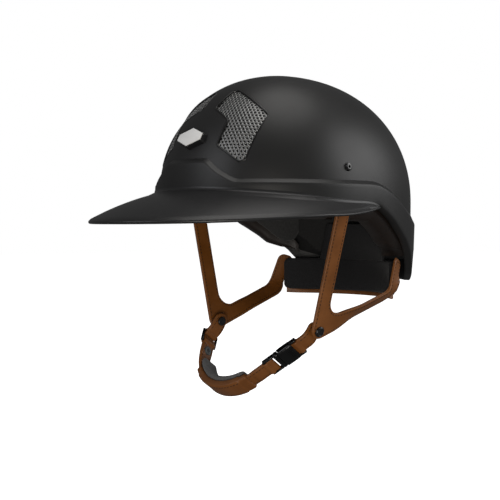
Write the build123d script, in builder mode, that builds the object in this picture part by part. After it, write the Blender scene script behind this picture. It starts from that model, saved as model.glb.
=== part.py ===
from build123d import *
import math
import os

# Equestrian riding helmet with a wide one-piece visor, leather harness and side-release buckle.
# Millimetres. Front is -Y, the wearer's left is +X, up is +Z. The origin is the middle of the
# head opening, level with the front of the visor's lower edge.

os.makedirs("parts", exist_ok=True)

# ---- driving dimensions ------------------------------------------------------------------
CROWN_FRONT = 114.8        # half length of the crown ahead of the origin
CROWN_REAR = 143.8         # half length of the crown behind the origin
CROWN_SIDE = 105.8         # half width of the crown
CROWN_RISE = 121.5         # height of the crown above its widest level
CROWN_DROP = 290.0         # the same for the almost upright wall below that level
WIDEST_Z = 18.6            # level of the widest section
PLAN_POWER = 2.18          # roundness of the plan: 2 is an ellipse, more is squarer
SIDE_POWER = 2.14          # roundness of the side view
FLOOR_Z = -90.0            # every crown block is drawn down to here, then trimmed

SHELL_T = 3.0              # outer shell
BAND_PROUD = 4.0           # lower band stands this far out of the shell
FIT = 0.3                  # gap between layers of the lining
FOAM_IN = 24.0             # inner face of the impact liner
LINER_IN = 29.5            # inner face of the comfort liner
LINER_OUT = FOAM_IN + FIT

LEATHER_T = 3.0            # doubled and stitched harness leather
STRAP_W = 16.0             # cheek straps
CHIN_W = 15.0              # chin strap and stems
SNAP_Y, SNAP_Z = -17.0, -99.5    # the two cheek snaps lie on one line along X
SNAP_X = 73.8
PIN_R = 2.0                # press stud post
PIN_PLAY = 0.06            # the stem turns on the post

HALF_SPACE = 150.0         # long enough to cut right across the helmet


# ---- crown blocks ------------------------------------------------------------------------
def super_point(angle, side, front, rear):
    """Point of the crown's plan at an angle from straight ahead."""
    power = 2 / PLAN_POWER
    s, c = math.sin(angle), math.cos(angle)
    x = math.copysign(side * abs(s) ** power, s)
    y = -math.copysign((front if c > 0 else rear) * abs(c) ** power, c)
    return x, y


def crown(inset):
    """Solid inside the crown's outer face moved inwards by inset."""
    side, front = CROWN_SIDE - inset, CROWN_FRONT - inset
    rear, rise = CROWN_REAR - inset, CROWN_RISE - inset
    levels = []
    for drop in (FLOOR_Z - WIDEST_Z, -70.0, -35.0):
        shrink = (1 - (abs(drop) / CROWN_DROP) ** SIDE_POWER) ** (1 / SIDE_POWER)
        levels.append((WIDEST_Z + drop, shrink))
    for step in (0, 15, 29, 42, 54, 64, 72, 79, 84):
        turn = math.radians(step)
        levels.append((WIDEST_Z + rise * math.sin(turn) ** (2 / SIDE_POWER),
                       math.cos(turn) ** (2 / SIDE_POWER)))
    with BuildPart() as block:
        for z, shrink in levels:
            with BuildSketch(Plane.XY.offset(z)):
                with BuildLine():
                    ring = [super_point(math.radians(15 * i + 7.5), side * shrink,
                                        front * shrink, rear * shrink) for i in range(24)]
                    Spline(*ring, periodic=True)
                make_face()
        loft()
    return block.part


BLOCKS = {}


def block(inset):
    """The crown block of one inset, made once."""
    if inset not in BLOCKS:
        BLOCKS[inset] = crown(inset)
    return BLOCKS[inset]


def layer(outer, inner, outline):
    """Wall of the crown between two insets, kept inside a side-view outline of (y, z)."""
    with BuildPart() as wall:
        add(block(outer))
        add(block(inner), mode=Mode.SUBTRACT)
        with BuildSketch(Plane.YZ):
            with BuildLine():
                Polyline(*outline, close=True)
            make_face()
        extrude(amount=HALF_SPACE, both=True, mode=Mode.INTERSECT)
    return wall.part


def save(part, name):
    part.label = name
    export_step(part, "parts/" + name + ".step")


def save_pair(part, name):
    """Write a left piece and its mirror image."""
    save(part, "left_" + name)
    save(mirror(part, about=Plane.YZ), "right_" + name)


# ---- side-view lines of the shell --------------------------------------------------------
NAPE_Z = -57.0
RIM = [(-130, 6), (0, 12), (27, 15), (40, 8), (52, 1), (64, -8), (76, -16), (91, -28),
       (100, -39), (110, -50), (120, NAPE_Z), (160, NAPE_Z)]
BAND_TOP = [(160, 2), (110, 5), (89, 10.5), (77, 16), (65, 22.5), (50, 29.7), (37, 34.5),
            (23, 37.5), (-103, 38), (-107.5, 47.8), (-110.5, 57), (-130, 57)]
TOP_Z = 160.0
SKIRT = 15.0               # the padded rim hangs this far below the shell
SKIRT_RISE = 9.0           # and reaches this far up inside it

# vent window: an open chevron on each side of the brow, in a plane that leans with the crown
VENT_PLANE = Plane(origin=(40, -85, 88), x_dir=(0.9, 0.46, 0), z_dir=(0.39, -0.76, 0.52))
VENT_CORNERS = [(13, -63, 122), (61.5, -67, 96), (60, -93, 55.5), (56, -96, 53.5),
                (33, -102, 69), (33.6, -89, 91.5), (9.3, -85, 104)]
VENT_EDGE = 1.6            # moulded edge round the grille
VENT_ROUND = 1.8
VENT_IN, VENT_DEPTH = -30.0, 70.0      # where the window's prism starts, and its length
GRILLE_HOLE_R = 1.3
GRILLE_PITCH = 4.6

# side anchor, where the front of each cheek strap is screwed through the shell
ANCHOR_Y, ANCHOR_Z = -8.0, 49.5
ANCHOR_HEAD_R = 3.8
ANCHOR_SHANK_R = 2.0


def vent_prism(grow):
    """Prism of the vent outline, grown sideways, right through the shell."""
    with BuildPart() as prism:
        with BuildSketch(VENT_PLANE.offset(VENT_IN)) as outline:
            corners = [VENT_PLANE.to_local_coords(Vector(*c)) for c in VENT_CORNERS]
            with BuildLine():
                Polyline(*[(c.X, c.Y) for c in corners], close=True)
            make_face()
            fillet(outline.vertices(), VENT_ROUND)
            if grow:
                offset(amount=grow)
        extrude(amount=VENT_DEPTH)
    return prism.part


WINDOW = vent_prism(VENT_EDGE)
OPENING = vent_prism(0)

with BuildPart() as outer_shell:
    add(layer(0, SHELL_T, RIM + [(160, TOP_Z), (-130, TOP_Z)]))
    add(WINDOW, mode=Mode.SUBTRACT)
    add(mirror(WINDOW, about=Plane.YZ), mode=Mode.SUBTRACT)
    with Locations(Location((0, ANCHOR_Y, ANCHOR_Z), (0, 90, 0))):
        Cylinder(ANCHOR_SHANK_R + 0.2, 2 * HALF_SPACE, mode=Mode.SUBTRACT)
save(outer_shell.part, "outer_shell")

with BuildPart() as lower_band:
    add(layer(-BAND_PROUD, -0.1, RIM + BAND_TOP))
save(lower_band.part, "lower_band")

with BuildPart() as vent_frame:
    add(layer(0.1, SHELL_T, [(-130, 40), (0, 40), (0, TOP_Z), (-130, TOP_Z)]))
    add(vent_prism(VENT_EDGE - 0.1), mode=Mode.INTERSECT)
    add(OPENING, mode=Mode.SUBTRACT)
save_pair(vent_frame.part, "vent_frame")

with BuildPart() as vent_grille:
    add(layer(1.4, 2.4, [(-130, 40), (0, 40), (0, TOP_Z), (-130, TOP_Z)]))
    add(vent_prism(-0.1), mode=Mode.INTERSECT)
    with BuildSketch(VENT_PLANE.offset(VENT_IN)):
        with HexLocations(GRILLE_PITCH / 2, 9, 13):
            Circle(GRILLE_HOLE_R)
    extrude(amount=VENT_DEPTH, mode=Mode.SUBTRACT)
save_pair(vent_grille.part, "vent_grille")

# ---- visor -------------------------------------------------------------------------------
VISOR_SIDE = 121.0         # half width of the visor's plan
VISOR_MID_Y = -48.0        # level of its widest point
VISOR_REACH = 149.0        # from there to the tip
VISOR_TAIL = 180.0         # the plan behind the widest point is a longer ellipse
VISOR_END = 114.6          # the plan angle at which each end dies into the band
VISOR_T = 3.4
VISOR_CROWN = 2.5          # the top face bulges this much between root and edge
ROOT_TUCK = 1.0            # the root sits this far into the band


def visor_frame(angle):
    """Root point, edge point and lower edge height of the visor at a plan angle."""
    turn = math.radians(angle)
    share = abs(angle) / VISOR_END
    root_turn = math.radians(math.copysign(0.8 * abs(angle) + 7.3 * share ** 6, angle))
    out = BAND_PROUD - ROOT_TUCK
    root = super_point(root_turn, CROWN_SIDE + out, CROWN_FRONT + out, CROWN_REAR + out)
    reach = VISOR_REACH if math.cos(turn) > 0 else VISOR_TAIL
    edge = (VISOR_SIDE * math.sin(turn), VISOR_MID_Y - reach * math.cos(turn))
    low = -1.9 + 6.6 * (share / 0.785) ** 2.5 if share < 0.785 else 4.7
    if share >= 0.785:
        low += 7.5 * ((share - 0.785) / 0.215) ** 2
    return root, edge, low


def root_height(y):
    """Height of the visor's top face where it meets the band."""
    if y < 7:
        return 18.9 + 9.4 * ((7 - y) / 126) ** 1.6
    return 18.9 - 3.9 * ((y - 7) / 20) ** 2


with BuildPart() as visor:
    for angle in (-114, -111, -104, -92, -76, -57, -38, -19, 0, 19, 38, 57, 76, 92, 104, 111, 114):
        root, edge, low = visor_frame(angle)
        span = math.dist(root, edge)
        along = ((edge[0] - root[0]) / span, (edge[1] - root[1]) / span, 0)
        section = Plane(origin=(root[0], root[1], 0), x_dir=along, z_dir=(along[1], -along[0], 0))
        top, tip = root_height(root[1]), low + VISOR_T
        bulge = VISOR_CROWN * min(1, span / 60)
        with BuildSketch(section):
            with BuildLine():
                Spline((0, top), (span / 2, (top + tip) / 2 + bulge), (span - 1.5, tip))
                ThreePointArc((span - 1.5, tip), (span, low + VISOR_T / 2), (span - 1.5, low))
                Spline((span - 1.5, low), (span / 2, (top + tip) / 2 + bulge - VISOR_T),
                       (0, top - VISOR_T))
                Line((0, top - VISOR_T), (0, top))
            make_face()
    loft()
save(visor.part, "visor")

# ---- badge: a hexagonal plate on a raised base, on the mid plane of the brow ---------------
BADGE_HALF = 17.5
BADGE_RISE = 10.5
BADGE_SIDE = 3.9
BADGE_PLANE = Plane(origin=(0, -107.0, 77), x_dir=(1, 0, 0), z_dir=(0, -0.866, 0.5))


def hexagon(scale_to):
    """Hexagon with points at top and bottom, scaled about its centre."""
    corners = [(BADGE_HALF, BADGE_SIDE), (0, BADGE_RISE), (-BADGE_HALF, BADGE_SIDE),
               (-BADGE_HALF, -BADGE_SIDE), (0, -BADGE_RISE), (BADGE_HALF, -BADGE_SIDE)]
    return [(x * scale_to, y * scale_to) for x, y in corners]


with BuildPart() as badge_base:
    with BuildSketch(BADGE_PLANE):
        Polygon(*hexagon(1.0), align=None)
    extrude(amount=-14)
    add(block(-0.1), mode=Mode.SUBTRACT)
save(badge_base.part, "badge_base")

with BuildPart() as badge_plate:
    with BuildSketch(BADGE_PLANE.offset(0.02)):
        Polygon(*hexagon(0.93), align=None)
    extrude(amount=0.9)
    chamfer(badge_plate.faces().sort_by(Axis(BADGE_PLANE.origin, BADGE_PLANE.z_dir))[-1].edges(), 0.3)
save(badge_plate.part, "badge_plate")

# ---- lining ------------------------------------------------------------------------------
POCKET_X = 97.3            # pockets in the lining for the side anchors
POCKET_T = 13.0
TAB_T = 2.6
REAR_TAB_PLANE = Plane(origin=(80.3, 86.0, -33.0), x_dir=(-0.477, 0.879, 0), z_dir=(0.879, 0.477, 0))


def rear_tab_prism(width, height, thickness):
    """Upright plate where the rear arm of a cheek strap is held inside the shell."""
    with BuildPart() as plate:
        with BuildSketch(REAR_TAB_PLANE) as outline:
            Rectangle(width, height)
            fillet(outline.vertices(), 3)
        extrude(amount=thickness / 2, both=True)
    return plate.part


NAPE_R = 100.0             # the pad is bent to this radius about an upright axis
NAPE_MID_Y = 10.0
NAPE_T = 6.0


def nape_layer(inner_r, outer_r, outline):
    """Part of an upright tube round the nape, kept inside a rear-view outline of (x, z)."""
    with BuildPart() as pad:
        with BuildSketch(Plane.XY.offset(FLOOR_Z)):
            with Locations((0, NAPE_MID_Y)):
                Circle(outer_r)
                Circle(inner_r, mode=Mode.SUBTRACT)
        extrude(amount=110)
        with BuildSketch(Plane.XZ):
            with BuildLine():
                Polyline(*outline, close=True)
            make_face()
        extrude(amount=-HALF_SPACE, mode=Mode.INTERSECT)
    return pad.part


def rim_shift(dz, start=-130, stop=160):
    """The rim line moved in height by dz, over part of its length."""
    return [(y, z + dz) for y, z in RIM if start <= y <= stop]


with BuildPart() as impact_liner:
    foam_rim = [(y, z + SKIRT_RISE + FIT) for y, z in RIM if y < 105]
    add(layer(SHELL_T + FIT, FOAM_IN, foam_rim + [(120, -37), (160, -37), (160, TOP_Z), (-130, TOP_Z)]))
    with Locations((POCKET_X, ANCHOR_Y - 4, 31), (-POCKET_X, ANCHOR_Y - 4, 31)):
        Box(POCKET_T, 24, 66, mode=Mode.SUBTRACT)
save(impact_liner.part, "impact_liner")

with BuildPart() as rim_band:
    lower = rim_shift(-SKIRT, stop=91)
    upper = rim_shift(SKIRT_RISE, stop=91)
    add(layer(SHELL_T + FIT, FOAM_IN + 1, lower + upper[::-1]))
    with Locations((POCKET_X, ANCHOR_Y - 4, 10), (-POCKET_X, ANCHOR_Y - 4, 10)):
        Box(POCKET_T, 24, 60, mode=Mode.SUBTRACT)
    add(nape_layer(NAPE_R - 2, NAPE_R + NAPE_T + 2, [(-90, -90), (90, -90), (90, -36), (-90, -36)]),
        mode=Mode.SUBTRACT)
    pocket = rear_tab_prism(21, 25, 4.0)
    add(pocket, mode=Mode.SUBTRACT)
    add(mirror(pocket, about=Plane.YZ), mode=Mode.SUBTRACT)
save(rim_band.part, "rim_band")

with BuildPart() as comfort_liner:
    lower = rim_shift(SKIRT_RISE - 6, stop=91)
    add(layer(FOAM_IN + 1 + FIT, LINER_IN, lower + [(96, -22), (90, 20), (60, 60), (-130, 70)]))
save(comfort_liner.part, "comfort_liner")

with BuildPart() as crown_pad:
    add(layer(LINER_OUT, LINER_IN, [(-60, 96), (75, 96), (75, TOP_Z), (-60, TOP_Z)]))
    with Locations((0, 8, 100)):
        Box(90, 130, 120, mode=Mode.INTERSECT)
save(crown_pad.part, "crown_pad")

# ---- side anchors ------------------------------------------------------------------------
TAB_PLANE = Plane(origin=(98.2, ANCHOR_Y - 4, 0), x_dir=(0, 1, 0), z_dir=(0.9985, 0, 0.0545))

with BuildPart() as anchor_tab:
    with BuildSketch(TAB_PLANE) as tab_outline:
        with Locations((0, 28)):
            Rectangle(STRAP_W + 4, 58)
        fillet(tab_outline.vertices(), 5)
        with Locations((4, ANCHOR_Z)):
            Circle(ANCHOR_SHANK_R + 0.2, mode=Mode.SUBTRACT)
    extrude(amount=TAB_T / 2, both=True)
save_pair(anchor_tab.part, "anchor_tab")

with BuildPart() as anchor_screw:
    with BuildSketch(Plane.YZ.offset(101.0)):
        with Locations((ANCHOR_Y, ANCHOR_Z)):
            Circle(ANCHOR_HEAD_R)
    extrude(amount=3.8)
    add(block(-0.02), mode=Mode.SUBTRACT)
    chamfer(anchor_screw.faces().sort_by(Axis.X)[-1].edges(), 0.5)
    with BuildSketch(Plane.YZ.offset(104.8)):
        with Locations((ANCHOR_Y, ANCHOR_Z)):
            RegularPolygon(1.3, 6)
    extrude(amount=-1.0, mode=Mode.SUBTRACT)
    with BuildSketch(Plane.YZ.offset(92.4)):
        with Locations((ANCHOR_Y, ANCHOR_Z)):
            Circle(ANCHOR_SHANK_R)
    extrude(amount=10.3)
save_pair(anchor_screw.part, "anchor_screw")

with BuildPart() as anchor_nut:
    with BuildSketch(Plane.YZ.offset(91.9)):
        with Locations((ANCHOR_Y, ANCHOR_Z)):
            RegularPolygon(3.6, 6)
            Circle(ANCHOR_SHANK_R + 0.02, mode=Mode.SUBTRACT)
    extrude(amount=2.0)
save_pair(anchor_nut.part, "anchor_nut")

# ---- cheek straps: one flat Y of stitched leather on each side ------------------------------
CHEEK_NORMAL = Vector(0.963, 0.0254, -0.2683)
CHEEK_PLANE = Plane(origin=(SNAP_X, SNAP_Y, SNAP_Z), x_dir=(-0.0245, 0.9993, 0.0068), z_dir=CHEEK_NORMAL)
FRONT_END = (1.0, 95.0)
REAR_BEND = (87.0, 31.0)
REAR_END = (96.0, 50.0)
CROTCH = 12.0              # inside radius between the two arms

with BuildPart() as cheek_strap:
    with BuildSketch(CHEEK_PLANE) as strap_outline:
        with BuildLine(mode=Mode.PRIVATE) as front_arm:
            Polyline((0, 0), FRONT_END)
        SlotArc(front_arm.wire(), STRAP_W)
        with BuildLine(mode=Mode.PRIVATE) as rear_arm:
            FilletPolyline((0, 0), REAR_BEND, REAR_END, radius=16)
        SlotArc(rear_arm.wire(), STRAP_W)
        Circle(9.5)
        crotch = strap_outline.vertices().sort_by_distance((9, 13))[0]
        fillet(crotch, CROTCH)
    extrude(amount=LEATHER_T / 2, both=True)
    with Locations(Location((SNAP_X, SNAP_Y, SNAP_Z), (0, 90, 0))):
        Cylinder(PIN_R + 0.2, 20, mode=Mode.SUBTRACT)
save_pair(cheek_strap.part, "cheek_strap")

with BuildPart() as rear_tab:
    add(rear_tab_prism(18, 22, TAB_T))
save_pair(rear_tab.part, "rear_tab")

# ---- cheek snaps: press stud with a post along X, on which the stem turns -------------------
CAP_R = 5.0
HEAD_R = 4.5
TAB_OUT, TAB_IN = 69.0, 66.0     # faces of the stem's tab

with BuildPart() as snap_cap:
    with BuildSketch(CHEEK_PLANE.offset(LEATHER_T / 2)):
        Circle(CAP_R)
    extrude(amount=2.2)
    fillet(snap_cap.edges().sort_by(Axis(CHEEK_PLANE.origin, CHEEK_PLANE.z_dir))[-1], 0.8)
    with Locations(Location((SNAP_X, SNAP_Y, SNAP_Z), (0, 90, 0))):
        Cylinder(PIN_R + 0.02, 7, mode=Mode.SUBTRACT)
    with BuildSketch(CHEEK_PLANE.offset(LEATHER_T / 2 + 1.5)):
        Circle(CAP_R - 1)
    extrude(amount=0.6)
save_pair(snap_cap.part, "snap_cap")

with BuildPart() as snap_stud:
    with BuildSketch(Plane.YZ.offset(TAB_IN - 0.3)):
        with Locations((SNAP_Y, SNAP_Z)):
            Circle(PIN_R)
    extrude(amount=SNAP_X + 2.4 - TAB_IN)
    with BuildSketch(Plane.YZ.offset(TAB_IN - 0.3)):
        with Locations((SNAP_Y, SNAP_Z)):
            Circle(HEAD_R)
    extrude(amount=-2.0)
    fillet(snap_stud.edges().sort_by(Axis.X)[0], 0.6)
save_pair(snap_stud.part, "snap_stud")

# ---- nape pad -----------------------------------------------------------------------------
with BuildPart() as nape_pad:
    add(nape_layer(NAPE_R, NAPE_R + NAPE_T,
                   [(-74, -40), (-72, -38), (72, -38), (74, -40), (74, -66), (68, -71),
                    (-68, -71), (-74, -66)]))
save(nape_pad.part, "nape_pad")

with BuildPart() as nape_hanger:
    add(nape_layer(NAPE_R + 0.5, NAPE_R + 3.2, [(-45, -37.7), (45, -37.7), (38, -2), (-38, -2)]))
save(nape_hanger.part, "nape_hanger")

with BuildPart() as nape_trim:
    add(nape_layer(NAPE_R + 1, NAPE_R + 4.5, [(-66, -71.2), (66, -71.2), (62, -75), (-62, -75)]))
save(nape_trim.part, "nape_trim")

# ---- chin loop ------------------------------------------------------------------------------
# Everything below the snaps is drawn in one tilted plane: u runs along X, v runs down and
# forward from the line through the snaps, and the straps' width runs along the plane's normal.
LOOP = Plane(origin=(0, SNAP_Y, SNAP_Z), x_dir=(1, 0, 0), z_dir=(0, 0.807, -0.5906))
CHIN_U, CHIN_V, CHIN_R = -14.0, 19.5, 52.0      # centre and radius of the arc under the chin
BUCKLE_TURN = 43.0         # the arc ends here on the buckle's side
RING_TURN = 158.0          # and here on the ring's side
BUCKLE_MID = 34.0          # buckle centre, along the straight run beyond the arc
BAR_REACH = 17.5           # strap bars, from the buckle's centre
BAR_R = 1.3
EYE_R = 3.4                # leather wrapped round a bar
EYE_JOIN = 4.3             # a strap runs to this far from the bar it is wrapped round
RING_MID = 19.0            # ring centre, along the straight run beyond the arc
RING_BAR = 5.2
RING_SIDE_Y = 9.3          # side bars of the ring
LOWER_SNAP_RUN = 4.0       # lower snap's centre, along the same run
TAB_U = (TAB_OUT + TAB_IN) / 2
TAB_TOP = -8.0


def arc_point(turn, radius=CHIN_R):
    """Point of the chin arc at an angle, in the loop plane."""
    a = math.radians(turn)
    return CHIN_U + radius * math.cos(a), CHIN_V + radius * math.sin(a)


def run_point(turn, distance, side=1):
    """Point on the straight run that leaves the arc at an angle; side picks the direction."""
    a = math.radians(turn)
    u, v = arc_point(turn)
    return u + side * distance * math.sin(a), v - side * distance * math.cos(a)


SOCKET_BAR = run_point(BUCKLE_TURN, BUCKLE_MID + BAR_REACH)
TONGUE_BAR = run_point(BUCKLE_TURN, BUCKLE_MID - BAR_REACH)
RING_LOW = run_point(RING_TURN, RING_MID - RING_BAR, side=-1)
RING_HIGH = run_point(RING_TURN, RING_MID + RING_BAR, side=-1)


def strap_solid(path, width, eyes):
    """Leather strap along a path in the loop plane, with an eye round each bar."""
    with BuildPart() as strap:
        with BuildSketch(LOOP):
            with BuildLine(mode=Mode.PRIVATE) as centre:
                path()
            SlotArc(centre.wire(), LEATHER_T)
            with Locations(*eyes):
                Circle(EYE_R)
                Circle(BAR_R + FIT, mode=Mode.SUBTRACT)
        extrude(amount=width / 2, both=True)
    return strap.part


def shorten(start, end, cut):
    """The point short of end by cut, on the line from start."""
    length = math.dist(start, end)
    share = (length - cut) / length
    return start[0] + (end[0] - start[0]) * share, start[1] + (end[1] - start[1]) * share


def stem(bar, side):
    """Short leather stem from a cheek snap to a bar, with a tab square to the snap's post."""
    bend = (side * TAB_U, 8.4 if side > 0 else 11.0)
    with BuildPart() as strap:
        add(strap_solid(lambda: Polyline((side * TAB_U, TAB_TOP + LEATHER_T / 2), bend,
                                         shorten(bend, bar, EYE_JOIN)), CHIN_W, [bar]))
        with Locations(Location((side * TAB_U, SNAP_Y, SNAP_Z), (0, 90, 0))):
            Cylinder(PIN_R + PIN_PLAY, 12, mode=Mode.SUBTRACT)
    return strap.part


with BuildPart() as left_stem:
    add(stem(SOCKET_BAR, 1))
save(left_stem.part, "left_stem")

with BuildPart() as right_stem:
    add(stem(RING_HIGH, -1))
save(right_stem.part, "right_stem")

# side-release buckle: x along the straps towards the chin, y across, z through its thickness
away = math.radians(BUCKLE_TURN)
BUCKLE_CENTRE = LOOP.from_local_coords(Vector(*run_point(BUCKLE_TURN, BUCKLE_MID), 0))
TO_CHIN = LOOP.from_local_coords(Vector(-math.sin(away), math.cos(away), 0)) - LOOP.origin
OUTWARD = LOOP.from_local_coords(Vector(math.cos(away), math.sin(away), 0)) - LOOP.origin
BUCKLE = Plane(origin=BUCKLE_CENTRE, x_dir=TO_CHIN, z_dir=OUTWARD)
BUCKLE_W = 20.0
BUCKLE_T = 7.5
MOUTH = 2.0                # the socket's mouth, from the buckle's centre
SLOT_T = 4.0               # slot inside the socket
SOCKET_END = -13.0         # closed end of the socket
POCKET_END = -10.0         # where the slot stops
ARM_Y, ARM_W, ARM_T = 9.1, 1.8, 4.4      # arms that hold the strap bars
SHOULDER = 2.2             # the tongue's shoulder, which the socket's mouth meets
PRONG_W, PRONG_T = 2.4, 3.2
PRONG_X, PRONG_Y = 0.9, 6.2      # each prong flexes about its round root
PRONG_END = -8.0
BARB = 1.6                 # how far each prong's barb stands out

with BuildPart() as buckle_socket:
    with BuildSketch(BUCKLE) as back_wall:
        with Locations(((SOCKET_END + POCKET_END) / 2, 0)):
            Rectangle(POCKET_END - SOCKET_END, BUCKLE_W)
    extrude(amount=SLOT_T / 2, both=True)
    with BuildSketch(BUCKLE):
        with Locations((SOCKET_END - 3.25, ARM_Y), (SOCKET_END - 3.25, -ARM_Y)):
            Rectangle(6.5, ARM_W)
    extrude(amount=ARM_T / 2, both=True)
    with BuildSketch(Plane(origin=BUCKLE.origin, x_dir=BUCKLE.x_dir, z_dir=BUCKLE.y_dir)):
        with Locations((-BAR_REACH, 0)):
            Circle(BAR_R)
    extrude(amount=ARM_Y, both=True)
save(buckle_socket.part, "buckle_socket")

# the socket's outer and inner walls, with the tongue's slot between them
for name, side in (("socket_face", 1), ("socket_back", -1)):
    with BuildPart() as wall:
        with BuildSketch(BUCKLE.offset(side * SLOT_T / 2)) as face:
            with Locations(((SOCKET_END + MOUTH) / 2, 0)):
                Rectangle(MOUTH - SOCKET_END, BUCKLE_W)
            fillet(face.vertices(), 1.5)
        extrude(amount=side * (BUCKLE_T - SLOT_T) / 2)
    save(wall.part, name)

with BuildPart() as buckle_tongue:
    with BuildSketch(BUCKLE):
        with Locations((SHOULDER + 2.5, 0)):
            Rectangle(5.0, BUCKLE_W - 1)
        with Locations((12.9, ARM_Y - 0.5), (12.9, -ARM_Y + 0.5)):
            Rectangle(12.0, ARM_W)
    extrude(amount=ARM_T / 2, both=True)
    with BuildSketch(BUCKLE):
        with Locations((SHOULDER - 3.5, 0)):
            Rectangle(8.0, 4.0)
    extrude(amount=PRONG_T / 2, both=True)
    with BuildSketch(Plane(origin=BUCKLE.origin, x_dir=BUCKLE.x_dir, z_dir=BUCKLE.y_dir)):
        with Locations((BAR_REACH, 0)):
            Circle(BAR_R)
    extrude(amount=ARM_Y - 0.5, both=True)
save(buckle_tongue.part, "buckle_tongue")

for name, side in (("upper_prong", 1), ("lower_prong", -1)):
    with BuildPart() as prong:
        with BuildSketch(BUCKLE):
            with BuildLine():
                near = side * (PRONG_Y - PRONG_W / 2)
                far = side * (PRONG_Y + PRONG_W / 2)
                Polyline((PRONG_X, near), (PRONG_X, far), (-3.0, far), (-4.5, far + side * BARB),
                         (PRONG_END, far), (PRONG_END, near), close=True)
            make_face()
            with Locations((PRONG_X, side * PRONG_Y)):
                Circle(PRONG_W / 2)
        extrude(amount=PRONG_T / 2, both=True)
    save(prong.part, name)

with BuildPart() as strap_end:
    start = run_point(BUCKLE_TURN, LEATHER_T / 2 + 0.1)
    add(strap_solid(lambda: Polyline(start, shorten(start, TONGUE_BAR, EYE_JOIN)), CHIN_W, [TONGUE_BAR]))
save(strap_end.part, "strap_end")

with BuildPart() as chin_strap:
    with BuildSketch(LOOP):
        with BuildLine(mode=Mode.PRIVATE) as centre:
            arc = ThreePointArc(arc_point(BUCKLE_TURN + 1.8), arc_point(100), arc_point(RING_TURN))
            end = shorten(arc_point(RING_TURN), RING_LOW, EYE_JOIN)
            Line(arc @ 1, end)
        SlotArc(centre.wire(), LEATHER_T)
        with Locations(RING_LOW):
            Circle(EYE_R)
            Circle(BAR_R + FIT, mode=Mode.SUBTRACT)
    extrude(amount=CHIN_W / 2, both=True)
save(chin_strap.part, "chin_strap")

COVER_FROM, COVER_TO = 52.0, 148.0
COVER_IN, COVER_OUT = 3.6, 3.8       # cover's faces, inside and outside the strap's centre line
COVER_WALL = 1.6
PAD_FROM, PAD_TO = 66.0, 138.0
PAD_T = 5.4


def arc_band(inner, outer, start, stop, width):
    """Curved block between two radii and two angles about the chin arc's centre."""
    with BuildPart() as band:
        with BuildSketch(LOOP):
            with BuildLine():
                low = ThreePointArc(arc_point(start, inner), arc_point((start + stop) / 2, inner),
                                    arc_point(stop, inner))
                high = ThreePointArc(arc_point(start, outer), arc_point((start + stop) / 2, outer),
                                     arc_point(stop, outer))
                Line(low @ 0, high @ 0)
                Line(low @ 1, high @ 1)
            make_face()
        extrude(amount=width / 2, both=True)
    return band.part


with BuildPart() as chin_cover:
    add(arc_band(CHIN_R - COVER_IN, CHIN_R + COVER_OUT, COVER_FROM, COVER_TO, CHIN_W + 4.4))
    add(arc_band(CHIN_R - COVER_IN + COVER_WALL, CHIN_R + COVER_OUT - COVER_WALL, COVER_FROM - 3,
                 COVER_TO + 3, CHIN_W + 0.8), mode=Mode.SUBTRACT)
save(chin_cover.part, "chin_cover")

with BuildPart() as chin_pad:
    add(arc_band(CHIN_R - COVER_IN - 0.1 - PAD_T, CHIN_R - COVER_IN - 0.1, PAD_FROM, PAD_TO, CHIN_W + 4))
save(chin_pad.part, "chin_pad")

# double-bar ring on the right, between the chin strap and its stem
RING_TILT = math.radians(RING_TURN)
RING_CENTRE = LOOP.from_local_coords(Vector(*run_point(RING_TURN, RING_MID, side=-1), 0))
RING_ALONG = LOOP.from_local_coords(Vector(-math.sin(RING_TILT), math.cos(RING_TILT), 0)) - LOOP.origin
RING_FACE = LOOP.from_local_coords(Vector(math.cos(RING_TILT), math.sin(RING_TILT), 0)) - LOOP.origin
RING = Plane(origin=RING_CENTRE, x_dir=RING_ALONG, z_dir=RING_FACE)

with BuildPart() as strap_ring:
    with BuildSketch(RING) as outline:
        with Locations((0, RING_SIDE_Y), (0, -RING_SIDE_Y)):
            Rectangle(14.0, 2.6)
        fillet(outline.vertices(), 1.0)
    extrude(amount=1.3, both=True)
    with BuildSketch(Plane(origin=RING.origin, x_dir=RING.x_dir, z_dir=RING.y_dir)):
        with Locations((RING_BAR, 0), (-RING_BAR, 0)):
            Circle(BAR_R)
    extrude(amount=9.0, both=True)
save(strap_ring.part, "strap_ring")

# lower snap, which closes the fold of the chin strap below the ring
SNAP_MID = LOOP.from_local_coords(Vector(*run_point(RING_TURN, LOWER_SNAP_RUN, side=-1), 0))
LOWER_SNAP = Plane(origin=SNAP_MID, x_dir=RING_ALONG, z_dir=RING_FACE)

with BuildPart() as lower_snap_cap:
    with BuildSketch(LOWER_SNAP.offset(LEATHER_T / 2 + 0.05)):
        Circle(4.5)
    extrude(amount=1.8)
    fillet(lower_snap_cap.edges().sort_by(Axis(LOWER_SNAP.origin, LOWER_SNAP.z_dir))[-1], 0.6)
save(lower_snap_cap.part, "lower_snap_cap")

with BuildPart() as lower_snap_ring:
    with BuildSketch(LOWER_SNAP.offset(-LEATHER_T / 2 - 0.05)):
        Circle(4.2)
        Circle(1.6, mode=Mode.SUBTRACT)
    extrude(amount=-1.4)
save(lower_snap_ring.part, "lower_snap_ring")
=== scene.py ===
"""Equestrian riding helmet: matt moulded shell and visor, leather harness, side-release buckle.

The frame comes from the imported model. Sizes below are in millimetres and are turned to metres
when a mesh is made. Front is -Y, the wearer's left is +X, up is +Z.
"""
import math

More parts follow.
